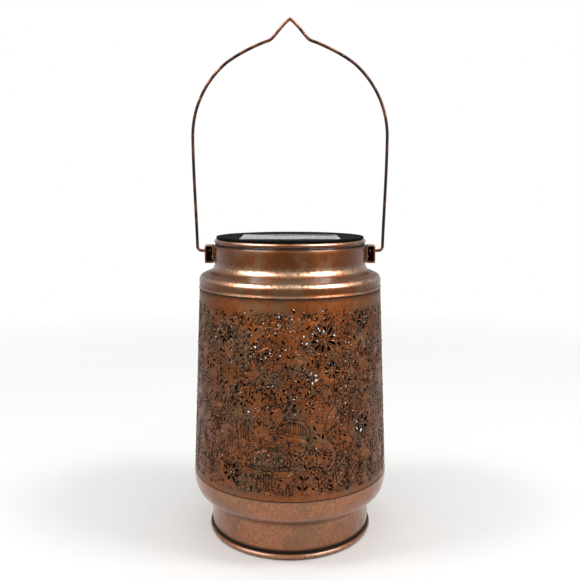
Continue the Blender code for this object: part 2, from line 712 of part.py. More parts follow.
def solar_panel(parent):
    """The panel in the lid's pocket: a board, a row of cell strips and the clear glaze over them."""
    board_z = POCKET_FLOOR + FIT_GAP / 2 + PANEL_BOARD / 2
    slab("panel_board", (0, 0, board_z), (PANEL_WIDTH, PANEL_DEPTH, PANEL_BOARD), "board", parent)
    cell_z = board_z + PANEL_BOARD / 2 + LAMINATE_GAP + CELL_THICKNESS / 2
    pitch = (PANEL_WIDTH - 2 * CELL_BORDER + CELL_SPACING) / CELL_COUNT
    for index in range(CELL_COUNT):
        x = (index - (CELL_COUNT - 1) / 2) * pitch
        size = (pitch - CELL_SPACING, PANEL_DEPTH - 2 * CELL_BORDER, CELL_THICKNESS)
        slab(f"solar_cell_{index + 1}", (x, 0, cell_z), size, "cell", parent)
    glaze_z = cell_z + CELL_THICKNESS / 2 + LAMINATE_GAP + GLAZE_THICKNESS / 2
    slab("panel_glaze", (0, 0, glaze_z), (PANEL_WIDTH, PANEL_DEPTH, GLAZE_THICKNESS), "glaze", parent)


def lamp_housing(parent):
    """Cup under the lid with the battery bay, board posts and the openings in its floor."""
    profile = [
        (0, FLOOR_TOP),
        (HOUSING_INNER, FLOOR_TOP),
        (HOUSING_INNER, HOUSING_TOP),
        (FLANGE_RADIUS, HOUSING_TOP),
        (FLANGE_RADIUS, HOUSING_TOP - HOUSING_WALL),
        (HOUSING_RADIUS, HOUSING_TOP - HOUSING_WALL),
        (HOUSING_RADIUS, HOUSING_BOTTOM + HOUSING_WALL),
        (HOUSING_RADIUS - HOUSING_WALL / 2, HOUSING_BOTTOM),
        (0, HOUSING_BOTTOM),
    ]
    cup = add_piece("lamp_housing", turned("lamp_housing", profile), "housing_plastic", parent)
    sunk = HOUSING_WALL / 2
    rib_height = BATTERY_RADIUS * RIB_HEIGHT_SHARE
    rib_x = BAY_HALF + RIB / 2
    rib = (RIB, BATTERY_RADIUS * RIB_WIDTH_SHARE, rib_height + sunk)
    ribs = [((side * rib_x, BATTERY_OFFSET, FLOOR_TOP - sunk + rib[2] / 2), rib) for side in (-1, 1)]
    boss = DOOR_BOSS_LENGTH + sunk
    bosses = [((x, y, FLOOR_TOP - sunk), DOOR_BOSS_RADIUS, boss) for x, y in door_screw_places()]
    post = BOARD_LIFT - FIT_GAP + sunk
    posts = [((side * POST_X, POST_Y, FLOOR_TOP - sunk), POST_RADIUS, post) for side in (-1, 1)]
    pin = BOARD_LIFT + BOARD_THICKNESS + POST_RADIUS / 2 + sunk
    pins = [((side * POST_X, POST_Y, FLOOR_TOP - sunk), PIN_RADIUS, pin) for side in (-1, 1)]
    for name, boxes, rods in (
        ("housing_ribs", ribs, ()),
        ("housing_bosses", (), bosses),
        ("housing_posts", (), posts),
        ("housing_pins", (), pins),
    ):
        combine(cup, add_tool(name, solid_of(name, boxes=boxes, rods=rods), parent), "UNION")
    below = HOUSING_BOTTOM - sunk
    through = HOUSING_WALL + 2 * sunk
    bay = ((0, BATTERY_OFFSET, below + through / 2), (2 * BAY_HALF - 2 * FIT_GAP, BAY_WIDTH, through))
    slot_size = (KNOB_SIZE[0] + SWITCH_TRAVEL + 4 * FIT_GAP, KNOB_SIZE[1] + 4 * FIT_GAP, through)
    slot = ((0, SWITCH_Y, below + through / 2), slot_size)
    holes = [((0, 0, below), LED_RADIUS + FIT_GAP, through)]
    bore = SCREW_RADIUS + RUNNING_GAP
    flange = HOUSING_TOP - HOUSING_WALL - sunk
    holes += [((x, y, flange), bore, through) for x, y, _ in screw_places()]
    blind = through + DOOR_BOSS_LENGTH / 2
    holes += [((x, y, below), bore, blind) for x, y in door_screw_places()]
    openings = solid_of("housing_openings", boxes=[bay, slot], rods=holes)
    combine(cup, add_tool("housing_openings", openings, parent))
    return cup


def battery_door(parent):
    """Door under the bay: an outer plate with rounded ends, a plug in the opening and two screw holes."""
    top = HOUSING_BOTTOM - FIT_GAP
    half_length = DOOR_SCREW_X + DOOR_BOSS_RADIUS + DOOR_LAP
    plate_size = (2 * half_length, BAY_WIDTH + 2 * DOOR_LAP, DOOR_PLATE)
    plate = ((0, BATTERY_OFFSET, top - DOOR_PLATE / 2), plate_size)
    door = add_piece("battery_door", solid_of("battery_door", boxes=[plate]), "housing_plastic", parent)
    plug_height = FIT_GAP + HOUSING_WALL - FIT_GAP / 2 + DOOR_PLATE / 2
    plug_size = (2 * BAY_HALF - 4 * FIT_GAP, BAY_WIDTH - 2 * FIT_GAP, plug_height)
    plug = ((0, BATTERY_OFFSET, top - DOOR_PLATE / 2 + plug_height / 2), plug_size)
    combine(door, add_tool("door_plug", solid_of("door_plug", boxes=[plug]), parent), "UNION")
    rim = HOUSING_RADIUS - HOUSING_WALL
    trim = ((0, 0, top - 2 * DOOR_PLATE), rim, 2 * DOOR_PLATE + HOUSING_DEPTH)
    bm = bmesh.new()
    add_rod(bm, *trim, steps=TURNED_STEPS)
    combine(door, add_tool("door_trim", finished_mesh(bm, "door_trim"), parent), "INTERSECT")
    bore = SCREW_RADIUS + RUNNING_GAP
    holes = [((x, y, top - 2 * DOOR_PLATE), bore, 3 * DOOR_PLATE) for x, y in door_screw_places()]
    combine(door, add_tool("door_drills", solid_of("door_drills", rods=holes), parent))
    return door


def battery_parts(parent):
    """The cell, its two contact plates and the coil spring at its flat end."""
    size = (CONTACT_SHEET, BATTERY_RADIUS * CONTACT_SHARE, BATTERY_RADIUS * CONTACT_SHARE)
    plate_x = BAY_HALF - FIT_GAP - CONTACT_SHEET / 2
    slab("spring_plate", (-plate_x, BATTERY_OFFSET, BATTERY_Z), size, "steel", parent)
    slab("contact_plate", (plate_x, BATTERY_OFFSET, BATTERY_Z), size, "steel", parent)
    spring_start = CONTACT_SHEET + 2 * FIT_GAP - BAY_HALF
    battery_spring(parent, spring_start)
    start = spring_start + SPRING_LENGTH + FIT_GAP / 2
    body = BATTERY_LENGTH - BATTERY_NUB
    edge = SHEET / 2
    profile = [
        (0, 0),
        (BATTERY_RADIUS - edge, 0),
        (BATTERY_RADIUS, edge),
        (BATTERY_RADIUS, body - edge),
        (BATTERY_RADIUS - edge, body),
        (BATTERY_NUB_RADIUS, body),
        (BATTERY_NUB_RADIUS, BATTERY_LENGTH),
        (0, BATTERY_LENGTH),
    ]
    mesh = turned("battery_cell", profile, BATTERY_STEPS)
    place = (start, BATTERY_OFFSET, BATTERY_Z)
    add_piece("battery_cell", mesh, "battery", parent, place, (0, math.pi / 2, 0))


def battery_spring(parent, start):
    """Conical coil, wide at its plate and narrow at the battery."""
    count = int(SPRING_TURNS * SMALL_STEPS)
    length = SPRING_LENGTH - 2 * SPRING_WIRE
    points = []
    for index in range(count + 1):
        share = index / count
        radius = SPRING_WIDE + (SPRING_NARROW - SPRING_WIDE) * share
        turn = math.tau * index / SMALL_STEPS
        along = SPRING_WIRE + length * share
        points.append(Vector((along, radius * math.cos(turn), radius * math.sin(turn))))
    curve = round_wire("battery_spring", points, SPRING_WIRE, 1)
    return add_piece("battery_spring", curve, "steel", parent, (start, BATTERY_OFFSET, BATTERY_Z))


def circuit_board(parent):
    """Lamp board on its two posts, with holes for the pins and the lamp's legs."""
    centre = (0, BOARD_CENTRE_Y, BOARD_BOTTOM + BOARD_THICKNESS / 2)
    board = slab("circuit_board", centre, (*BOARD_SIZE, BOARD_THICKNESS), "board", parent)
    base = BOARD_BOTTOM - BOARD_THICKNESS
    through = 3 * BOARD_THICKNESS
    holes = [((side * POST_X, POST_Y, base), PIN_RADIUS + FIT_GAP, through) for side in (-1, 1)]
    leg = LED_LEG_RADIUS + RUNNING_GAP
    holes += [((side * LED_LEG_SPACING / 2, 0, base), leg, through) for side in (-1, 1)]
    combine(board, add_tool("board_drills", solid_of("board_drills", rods=holes), parent))
    return board


def led_lamp(parent):
    """Domed lamp that points down through the housing floor, with two legs up to the board."""
    seat = FLOOR_TOP + FIT_GAP
    shoulder = seat + LED_FLANGE_HEIGHT
    dome = arc((0, seat - LED_BARREL), LED_RADIUS, -90, 0, 5)
    flange = LED_RADIUS + LED_FLANGE + FIT_GAP
    profile = dome + [(LED_RADIUS, seat), (flange, seat), (flange, shoulder), (0, shoulder)]
    lamp = add_piece("led_lamp", turned("led_lamp", profile, SMALL_STEPS), "led", parent)
    sunk = LED_FLANGE_HEIGHT / 2
    leg = BOARD_TOP + LED_FLANGE_HEIGHT - shoulder + sunk
    legs = [((side * LED_LEG_SPACING / 2, 0, shoulder - sunk), LED_LEG_RADIUS, leg) for side in (-1, 1)]
    combine(lamp, add_tool("led_legs", solid_of("led_legs", rods=legs), parent), "UNION")
    return lamp


def switch_parts(lid, knob_axis):
    """Slide switch under the board, and its knob, which passes through the housing floor."""
    top = BOARD_BOTTOM - FIT_GAP
    bottom = top - SWITCH_BODY[2]
    body = slab("switch_body", (0, SWITCH_Y, top - SWITCH_BODY[2] / 2), SWITCH_BODY, "black_plastic", lid)
    pocket_depth = SWITCH_BODY[2] * SWITCH_POCKET_SHARE
    pocket_length = KNOB_SIZE[0] + SWITCH_TRAVEL + 2 * FIT_GAP
    pocket = [((0, SWITCH_Y, bottom), (pocket_length, KNOB_SIZE[1] + 2 * FIT_GAP, 2 * pocket_depth))]
    combine(body, add_tool("switch_pocket", solid_of("switch_pocket", boxes=pocket), lid))
    knob_top = bottom + pocket_depth - FIT_GAP
    knob_bottom = HOUSING_BOTTOM - KNOB_PROUD
    size = (*KNOB_SIZE, knob_top - knob_bottom)
    centre = (0, 0, (knob_top + knob_bottom) / 2)
    add_piece("switch_knob", solid_of("switch_knob", boxes=[(centre, size)]), "housing_plastic", knob_axis)


def board_components(parent):
    """The driver chip and the choke coil that stand on the board."""
    lift = BOARD_TOP + FIT_GAP
    chip = (BOARD_SIZE[0] / 5, BOARD_CENTRE_Y - BOARD_SIZE[1] / 8, lift + CHIP_SIZE[2] / 2)
    slab("driver_chip", chip, CHIP_SIZE, "black_plastic", parent)
    end = COIL_RADIUS * COIL_EYE
    profile = [
        (0, 0),
        (end, 0),
        (COIL_RADIUS, end),
        (COIL_RADIUS * COIL_WAIST, 2 * end),
        (COIL_RADIUS * COIL_WAIST, COIL_LENGTH - 2 * end),
        (COIL_RADIUS, COIL_LENGTH - end),
        (end, COIL_LENGTH),
        (0, COIL_LENGTH),
    ]
    place = (-BOARD_SIZE[0] / 5 - COIL_LENGTH / 2, BOARD_CENTRE_Y - BOARD_SIZE[1] / 8, lift + COIL_RADIUS)
    mesh = turned("choke_coil", profile, SMALL_STEPS)
    add_piece("choke_coil", mesh, "battery", parent, place, (0, math.pi / 2, 0))


def lead(name, knots, finish, parent):
    """An insulated lead along a smooth curve through its knots, with steep ends."""
    points = []
    for (x0, y0, z0), (x1, y1, z1) in zip(knots, knots[1:]):
        drop = (z1 - z0) / 3
        start, end = Vector((x0, y0, z0)), Vector((x1, y1, z1))
        leave, arrive = start + Vector((0, 0, drop)), end - Vector((0, 0, drop))
        points += interpolate_bezier(start, leave, arrive, end, LEAD_POINTS)[bool(points):]
    return add_piece(name, round_wire(name, points, LEAD_RADIUS, 1), finish, parent)


def leads(parent):
    """Two leads from the panel and two from the battery contacts, all to the board."""
    panel_z = POCKET_FLOOR - LAMINATE_GAP
    board_z = BOARD_TOP + FIT_GAP
    back_y = BOARD_CENTRE_Y + BOARD_SIZE[1] / 2 - 3 * LEAD_RADIUS
    contact_z = BATTERY_Z + BATTERY_RADIUS * CONTACT_SHARE / 2 + LEAD_RADIUS
    for side, word, finish in ((1, "red", "red_lead"), (-1, "black", "black_lead")):
        top = (side * 4 * LEAD_RADIUS, BOARD_CENTRE_Y, panel_z)
        foot = (side * 7 * LEAD_RADIUS, BOARD_CENTRE_Y, board_z)
        lead(f"panel_lead_{word}", [top, foot], finish, parent)
        contact_x = side * (BAY_HALF - FIT_GAP - CONTACT_SHEET / 2)
        board_x = side * (BOARD_SIZE[0] / 2 - 4 * LEAD_RADIUS)
        rise = contact_z + 5 * LEAD_RADIUS
        middle_y = (BATTERY_OFFSET + back_y) / 2
        start = Vector((contact_x, BATTERY_OFFSET, contact_z + FIT_GAP))
        end = Vector((board_x, back_y, board_z))
        up, down = Vector((contact_x, middle_y, rise)), Vector((board_x, middle_y, rise))
        leave = start.lerp(up, LEAD_LEAVE)
        points = interpolate_bezier(start, leave, down, end, LONG_LEAD_POINTS)
        name = f"battery_lead_{word}"
        add_piece(name, round_wire(name, points, LEAD_RADIUS, 1), finish, parent)


def build_body(lantern):
    """The lantern body, its lugs and their rivets."""
    foot_ring(lantern)
    base_bowl(lantern)
    pierced_sleeve(lantern)
    shoulder_collar(lantern)
    for side, word in ((-1, "left"), (1, "right")):
        lug(side, f"lug_{word}", lantern)
        lug_rivet(side, f"lug_rivet_{word}", lantern)


def build_lamp(lid_seat, knob_axis):
    """The solar lamp unit that drops into the neck."""
    lid_cover(lid_seat)
    solar_panel(lid_seat)
    lamp_housing(lid_seat)
    for index, place in enumerate(screw_places()):
        seat = HOUSING_TOP - HOUSING_WALL - FIT_GAP
        length = HOUSING_WALL + 2 * FIT_GAP + SCREW_BITE - FIT_GAP
        screw(f"housing_screw_{index + 1}", seat, length, lid_seat, place)
    battery_parts(lid_seat)
    battery_door(lid_seat)
    for side, word in ((-1, "left"), (1, "right")):
        seat = HOUSING_BOTTOM - FIT_GAP - DOOR_PLATE - FIT_GAP
        length = DOOR_PLATE + HOUSING_WALL + DOOR_BOSS_LENGTH / 2 - FIT_GAP
        place = (side * DOOR_SCREW_X, BATTERY_OFFSET, 0)
        screw(f"door_screw_{word}", seat, length, lid_seat, place)
    circuit_board(lid_seat)
    board_components(lid_seat)
    led_lamp(lid_seat)
    switch_parts(lid_seat, knob_axis)
    leads(lid_seat)


def main():
    """Build the lantern at rest: bail upright, lid seated, switch knob at its first stop."""
    clear_scene()
    lantern = add_empty("lantern")
    build_body(lantern)
    bail_wire(add_empty("bail_axis", (0, 0, PIVOT_Z), lantern))
    lid_seat = add_empty("lid_seat", (0, 0, RIM_TOP), lantern)
    knob_axis = add_empty("knob_axis", (-SWITCH_TRAVEL / 2, SWITCH_Y, 0), lid_seat)
    build_lamp(lid_seat, knob_axis)


main()
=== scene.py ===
"""Looks of a solar garden lantern: fine metalwork, finishes, studio light and camera.

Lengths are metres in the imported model's own frame: +Z is up, the axis is Z and the front faces -Y.
"""

import json
import logging
import math
import random
from collections.abc import Callable, Iterable
from dataclasses import dataclass, field
from enum import Enum

import bmesh
import bpy
from mathutils import Matrix, Vector
from mathutils.geometry import delaunay_2d_cdt, interpolate_bezier
from mathutils.kdtree import KDTree


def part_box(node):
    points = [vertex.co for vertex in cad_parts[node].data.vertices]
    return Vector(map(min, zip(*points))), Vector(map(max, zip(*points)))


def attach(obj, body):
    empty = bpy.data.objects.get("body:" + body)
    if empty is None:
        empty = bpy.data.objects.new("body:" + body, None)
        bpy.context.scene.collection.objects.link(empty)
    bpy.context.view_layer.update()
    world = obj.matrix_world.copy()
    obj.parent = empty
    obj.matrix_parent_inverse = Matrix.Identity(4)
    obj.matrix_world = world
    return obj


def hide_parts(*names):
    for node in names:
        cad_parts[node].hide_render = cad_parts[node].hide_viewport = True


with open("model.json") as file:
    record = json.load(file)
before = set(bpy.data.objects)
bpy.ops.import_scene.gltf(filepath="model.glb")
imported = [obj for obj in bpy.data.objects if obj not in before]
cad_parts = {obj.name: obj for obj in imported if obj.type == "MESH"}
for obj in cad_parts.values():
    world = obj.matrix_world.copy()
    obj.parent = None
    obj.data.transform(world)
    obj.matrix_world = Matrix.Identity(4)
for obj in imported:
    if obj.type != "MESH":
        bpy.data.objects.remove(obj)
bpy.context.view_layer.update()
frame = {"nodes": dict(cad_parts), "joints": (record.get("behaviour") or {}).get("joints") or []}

LOG = logging.getLogger("lantern")
MM = 0.001
HAIRLINE = 0.42 * MM
SCATTER_SEED = 11
UPRIGHT = Vector((0, 0, 1))
SHARP_ANGLE = math.radians(32)
WELD = 1e-7

Colour = tuple[float, float, float]
Point = tuple[float, float]
Outline = list[Vector]


class Body(Enum):
    """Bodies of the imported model."""

    LANTERN = "lantern"
    BAIL = "bail"
    LAMP = "lamp_unit"


# ---------------------------------------------------------------- shader tools


class Signal:
    """A shader socket that takes part in arithmetic; each operator adds a Math node."""

    def __init__(self, recipe: "Recipe", socket: bpy.types.NodeSocket) -> None:
        """Wrap one output socket of a recipe's node tree."""
        self.recipe = recipe
        self.socket = socket

    def __add__(self, other: "Signal | float") -> "Signal":
        """Sum with a socket or a number."""
        return self.recipe.math("ADD", self, other)

    __radd__ = __add__

    def __mul__(self, other: "Signal | float") -> "Signal":
        """Product with a socket or a number."""
        return self.recipe.math("MULTIPLY", self, other)

    __rmul__ = __mul__

    def __sub__(self, other: "Signal | float") -> "Signal":
        """This socket less another."""
        return self.recipe.math("SUBTRACT", self, other)

    def __rsub__(self, other: float) -> "Signal":
        """A number less this socket."""
        return self.recipe.math("SUBTRACT", other, self)

    def __truediv__(self, other: "Signal | float") -> "Signal":
        """This socket divided by another."""
        return self.recipe.math("DIVIDE", self, other)

    def __pow__(self, power: float) -> "Signal":
        """This socket raised to a power."""
        return self.recipe.math("POWER", self, power)

    def __abs__(self) -> "Signal":
        """Magnitude of this socket."""
        return self.recipe.math("ABSOLUTE", self)

    def clamped(self) -> "Signal":
        """This socket held between 0 and 1."""
        return self.recipe.math("ADD", self, 0.0, clamp=True)

    def most(self, other: "Signal | float") -> "Signal":
        """The greater of two sockets."""
        return self.recipe.math("MAXIMUM", self, other)

    def step(self, low: float, high: float) -> "Signal":
        """Rise smoothly from 0 at the low value to 1 at the high one.

        Args:
            low: Value that gives 0.
            high: Value that gives 1; it may be the smaller of the two.

        Returns:
            The eased share.
        """
        settings = {"interpolation_type": "SMOOTHSTEP", "clamp": True}
        if low < high:
            values = {"Value": self, "From Min": low, "From Max": high}
            return self.recipe.node("ShaderNodeMapRange", settings, values)
        values = {"Value": self, "From Min": high, "From Max": low, "To Min": 1.0, "To Max": 0.0}
        return self.recipe.node("ShaderNodeMapRange", settings, values)


class Recipe:
    """One material or other node tree under construction, and the nodes that it is mixed from."""

    def __init__(self, name: str, tree: bpy.types.NodeTree | None = None) -> None:
        """Start a material that holds a Principled shader and its output, or add to a given tree.

        Args:
            name: The material's name.
            tree: A node tree to add to, in place of a new material.
        """
        if tree:
            self.tree = tree
            return
        self.made = bpy.data.materials.new(name)
        self.made.use_nodes = True
        self.tree = self.made.node_tree
        self.shader = self.tree.nodes["Principled BSDF"]

    def node(
        self, kind: str, settings: dict | None = None, values: dict | None = None, out: int | str = 0
    ) -> Signal:
        """Add a node.

        Args:
            kind: The node's type name.
            settings: Its own properties, or "stops" for a ramp's (place, colour) pairs.
            values: Its inputs, by name or index; each is a number, a tuple or a Signal.
            out: Which output to hand on.

        Returns:
            The chosen output.
        """
        node = self.tree.nodes.new(kind)
        for key, value in (settings or {}).items():
            if key != "stops":
                setattr(node, key, value)
                continue
            while len(node.color_ramp.elements) < len(value):
                node.color_ramp.elements.new(1.0)
            for element, (place, colour) in zip(node.color_ramp.elements, value):
                element.position = place
                element.color = (*colour, 1.0)
        for key, value in (values or {}).items():
            self.feed(node.inputs[key], value)
        return Signal(self, node.outputs[out])

    def feed(self, socket: bpy.types.NodeSocket, value: "Signal | float | tuple") -> None:
        """Link a signal to an input, or set its constant.

        Args:
            socket: The input.
            value: A signal, a number or a tuple.
        """
        if isinstance(value, Signal):
            self.tree.links.new(value.socket, socket)
        elif socket.type == "RGBA" and len(value) == 3:
            socket.default_value = (*value, 1.0)
        else:
            socket.default_value = value

    def math(self, operation: str, *values: "Signal | float", clamp: bool = False) -> Signal:
        """Add a Math node over its operands."""
        settings = {"operation": operation, "use_clamp": clamp}
        return self.node("ShaderNodeMath", settings, dict(enumerate(values)))

    def place(self, stretch: tuple[float, float, float] = (1, 1, 1)) -> Signal:
        """Object coordinates in metres, scaled axis by axis."""
        coordinates = self.node("ShaderNodeTexCoord", out="Object")
        return self.node("ShaderNodeMapping", None, {"Vector": coordinates, "Scale": stretch})

    def axes(self) -> tuple[Signal, Signal, Signal]:
        """Object coordinates as three separate numbers."""
        split = self.node("ShaderNodeSeparateXYZ", None, {0: self.node("ShaderNodeTexCoord", out="Object")})
        outputs = split.socket.node.outputs
        return tuple(Signal(self, outputs[index]) for index in range(3))

    def noise(
        self, size: float, detail: float = 4, rough: float = 0.55, stretch: tuple = (1, 1, 1)
    ) -> Signal:
        """Cloudy noise whose features are about a given size.

        Args:
            size: Feature size in metres.
            detail: Octaves.
            rough: How strongly the fine octaves show.
            stretch: Scale of each axis.

        Returns:
            Values round 0.5.
        """
        values = {"Vector": self.place(stretch), "Scale": 1 / size, "Detail": detail, "Roughness": rough}
        return self.node("ShaderNodeTexNoise", None, values)

    def cells(self, size: float, feature: str = "F1", stretch: tuple = (1, 1, 1)) -> Signal:
        """Distance pattern of a Voronoi texture with cells about a given size."""
        values = {"Vector": self.place(stretch), "Scale": 1 / size}
        return self.node("ShaderNodeTexVoronoi", {"feature": feature}, values)

    def painted(self, name: str) -> Signal:
        """A number painted on the mesh's points."""
        return self.node("ShaderNodeAttribute", {"attribute_name": name}, out="Fac")

    def blend(self, share: "Signal | float", first: "Signal | Colour", second: "Signal | Colour") -> Signal:
        """Mix two colours."""
        values = {0: share, 6: first, 7: second}
        return self.node("ShaderNodeMix", {"data_type": "RGBA"}, values, out=2)

    def relief(self, height: Signal, depth: float, strength: float = 1.0) -> Signal:
        """A normal from a height in 0..1 and the depth in metres that it stands for."""
        return self.node("ShaderNodeBump", None, {"Height": height, "Distance": depth, "Strength": strength})

    def finish(self, **values: "Signal | float | Colour") -> bpy.types.Material:
        """Set the Principled shader's inputs and hand over the material.

        Args:
            **values: Inputs by name, with underscores for spaces.

        Returns:
            The material.
        """
        for key, value in values.items():
            self.feed(self.shader.inputs[key.replace("_", " ")], value)
        return self.made


# ------------------------------------------------------------------- finishes


@dataclass(frozen=True)
class AgedCopper:
    """Antiqued copper plate: rubbed metal, a brown patina in clouds, soot and painted shade in the low
    places.

    It reads two painted numbers: one darkens the engraved grooves with patina and paints shade into crevices,
    seams, recesses and floor contacts; the other marks edges worn bright and painted highlights.
    """

    name: str
    bright: Colour = (0.44, 0.165, 0.066)
    deep: Colour = (0.20, 0.058, 0.014)
    dull: Colour = (0.070, 0.045, 0.026)
    # Near-black colour of soot and of painted shade.
    soot: Colour = (0.008, 0.005, 0.003)
    # Pale colour of metal worn bright, also used for painted highlights.
    pale: Colour = (0.70, 0.52, 0.38)
    olive: Colour = (0.085, 0.062, 0.036)
    patina: float = 0.45
    clouds: float = 0.016
    roughness: float = 0.33
    grain: float = 1.0
    rings: float = 0.0
    lacquer: float = 0.8
    engraving: float = 0.0
    engraved_from: float = 0.0
    engraved_to: float = 1.0

    def material(self) -> bpy.types.Material:
        """Mix the finish."""
        recipe = Recipe(self.name)
        cloud = recipe.noise(self.clouds, 6, 0.62)
        drift = recipe.noise(self.clouds * 1.3, 5, 0.6, (1, 1, 0.8)).step(0.47, 0.60) * self.patina
        speck = recipe.noise(0.0016, 3, 0.7)
        pits = recipe.noise(0.00055, 2, 0.6)
        soot = recipe.painted("soot")
        rub = recipe.painted("rub")
        edge = 1 - self.patina
        tarnish = (cloud * 0.72 + speck * 0.28).step(edge - 0.09, edge + 0.16)
        stain = recipe.noise(self.clouds * 0.6, 5, 0.7, (1, 1, 0.6)).step(0.57, 0.74) * self.patina
        cuts = self.foliage(recipe) if self.engraving else 0.0
        # Darkening mask: painted shade and dark groove patina from the painted number, with speckle, plus the
        # engraved foliage lines; it blends towards near black and takes away metal and coat, so shaded places
        # lose their reflections.
        low = (soot + (speck - 0.5) * soot * 0.8 + cuts).clamped()
        # Edges worn bright, and painted highlights where the number is set on the collar's fillet, roll and
        # skirt.
        worn = (rub * speck.step(0.30, 0.60)).clamped()
        metal = recipe.blend(speck.step(0.25, 0.75), self.deep, self.bright)
        metal = recipe.blend(tarnish * 0.80, metal, self.deep)
        metal = recipe.blend(drift * 0.85, metal, self.olive)
        spots = stain * 0.9 + pits.step(0.66, 0.78) * 0.35 * self.patina
        metal = recipe.blend(spots.clamped(), metal, self.dull)
        metal = recipe.blend(worn * 0.85, metal, self.pale)
        metal = recipe.blend(low, metal, self.soot)
        rough = self.roughness + tarnish * 0.10 + stain * 0.22 + drift * 0.14 + (pits - 0.5) * 0.16
        rough = (rough + low * 0.30 - worn * 0.10).clamped()
        turning = recipe.noise(0.0007, 2, 0.5, (0.02, 0.02, 1.0)) * self.rings
        height = pits * 0.5 * self.grain + speck * 0.6 * self.grain + turning - cuts * 2.0
        return recipe.finish(
            Base_Color=metal,
            Metallic=(1.0 - low * 0.55 - stain * 0.35).clamped(),
            Roughness=rough,
            Coat_Weight=(self.lacquer * (1 - low)).clamped(),
            Coat_Roughness=0.11,
            Specular_IOR_Level=0.1,
            Normal=recipe.relief(height, 0.00006, 0.8),
        )

    def foliage(self, recipe: Recipe) -> Signal:
        """Fine engraved leaf scales that fill patches of the ground between the motifs."""
        _, _, height = recipe.axes()
        veins = recipe.cells(0.0024, "DISTANCE_TO_EDGE").step(0.13, 0.04)
        rings = abs(recipe.cells(0.0024) - 0.30).step(0.10, 0.03) * 0.8
        patch = recipe.noise(0.009, 4, 0.6).step(0.38, 0.50)
        edge = 0.003
        inside = height.step(self.engraved_from, self.engraved_from + edge)
        inside = inside * height.step(self.engraved_to, self.engraved_to - edge)
        return veins.most(rings) * patch * inside * self.engraving


@dataclass(frozen=True)
class DarkWire:
    """Oxidised wire, nearly black, with copper showing where it is handled."""

    name: str = "dark_wire"
    oxide: Colour = (0.016, 0.008, 0.005)
    copper: Colour = (0.24, 0.085, 0.040)

    def material(self) -> bpy.types.Material:
        """Mix the finish."""
        recipe = Recipe(self.name)
        cloud = recipe.noise(0.006, 5, 0.65, (1, 1, 0.5))
        speck = recipe.noise(0.0008, 3, 0.6)
        worn = (cloud * 0.7 + speck * 0.3 + recipe.painted("rub") * 0.12).step(0.48, 0.70)
        drawn = recipe.noise(0.0004, 2, 0.5, (1, 1, 0.1))
        return recipe.finish(
            Base_Color=recipe.blend(worn * 0.75, self.oxide, self.copper),
            Metallic=0.9,
            Roughness=(0.48 - worn * 0.16 + (speck - 0.5) * 0.1).clamped(),
            Normal=recipe.relief(drawn * 0.5 + speck * 0.5, 0.00004, 0.7),
        )


@dataclass(frozen=True)
class MouldedPlastic:
    """Injection-moulded plastic with a faint texture, scuffs and dust."""

    name: str
    colour: Colour
    roughness: float
    texture: float = 0.5
    dust: float = 0.25
    shine: float = 0.5

    def material(self) -> bpy.types.Material:
        """Mix the finish."""
        recipe = Recipe(self.name)
        spark = recipe.cells(0.0005)
        cloud = recipe.noise(0.012, 5, 0.6)
        scuff = recipe.noise(0.004, 4, 0.7, (0.15, 1, 1)).step(0.56, 0.72)
        pale = tuple(channel * 0.75 + 0.05 for channel in self.colour)
        settled = (cloud.step(0.45, 0.75) * self.dust).clamped()
        return recipe.finish(
            Base_Color=recipe.blend(settled + scuff * 0.12, self.colour, pale),
            Roughness=(self.roughness + settled * 0.3 + scuff * 0.12 + (spark - 0.4) * 0.05).clamped(),
            Specular_IOR_Level=self.shine,
            Normal=recipe.relief(spark + scuff * 0.4, 0.00003, self.texture),
        )


@dataclass(frozen=True)
class SolarSilicon:
    """Dark blue silicon with thin silver fingers and one bus strip along each cell."""

    pitch: float
    first: float
    name: str = "solar_silicon"
    silicon: Colour = (0.012, 0.018, 0.050)
    silver: Colour = (0.55, 0.56, 0.58)
    finger_pitch: float = 0.0018

    def material(self) -> bpy.types.Material:
        """Mix the finish."""
        recipe = Recipe(self.name)
        across, along, _ = recipe.axes()
        half = self.pitch / 2
        strip = recipe.math("PINGPONG", across - self.first + self.pitch * 8, half)
        bus = strip.step(0.00055, 0.00042)
        finger = recipe.math("PINGPONG", along + 1.0, self.finger_pitch / 2).step(0.00011, 0.00006)
        crystal = recipe.cells(0.005, "F1", (1, 0.6, 1)).step(0.1, 0.9)
        silicon = recipe.blend(crystal, self.silicon, tuple(c * 2.2 for c in self.silicon))
        lines = bus.most(finger * 0.7)
        return recipe.finish(
            Base_Color=recipe.blend(lines, silicon, self.silver),
            Metallic=(lines * 0.8).clamped(),
            Roughness=(0.22 + lines * 0.2).clamped(),
            Normal=recipe.relief(lines, 0.00002),
        )


@dataclass(frozen=True)
class ClearGlaze:
    """Clear resin over the cells, with faint flow marks and specks of dust."""

    name: str = "clear_glaze"
    tint: Colour = (0.93, 0.97, 0.95)

    def material(self) -> bpy.types.Material:
        """Mix the finish."""
        recipe = Recipe(self.name)
        flow = recipe.noise(0.02, 2, 0.5)
        dust = recipe.noise(0.0012, 3, 0.7).step(0.62, 0.74)
        return recipe.finish(
            Base_Color=recipe.blend(dust * 0.5, self.tint, (0.7, 0.7, 0.68)),
            Roughness=(0.05 + dust * 0.35 + flow * 0.05).clamped(),
            Transmission_Weight=0.92,
            IOR=1.5,
            Normal=recipe.relief(flow, 0.00012, 0.35),
        )


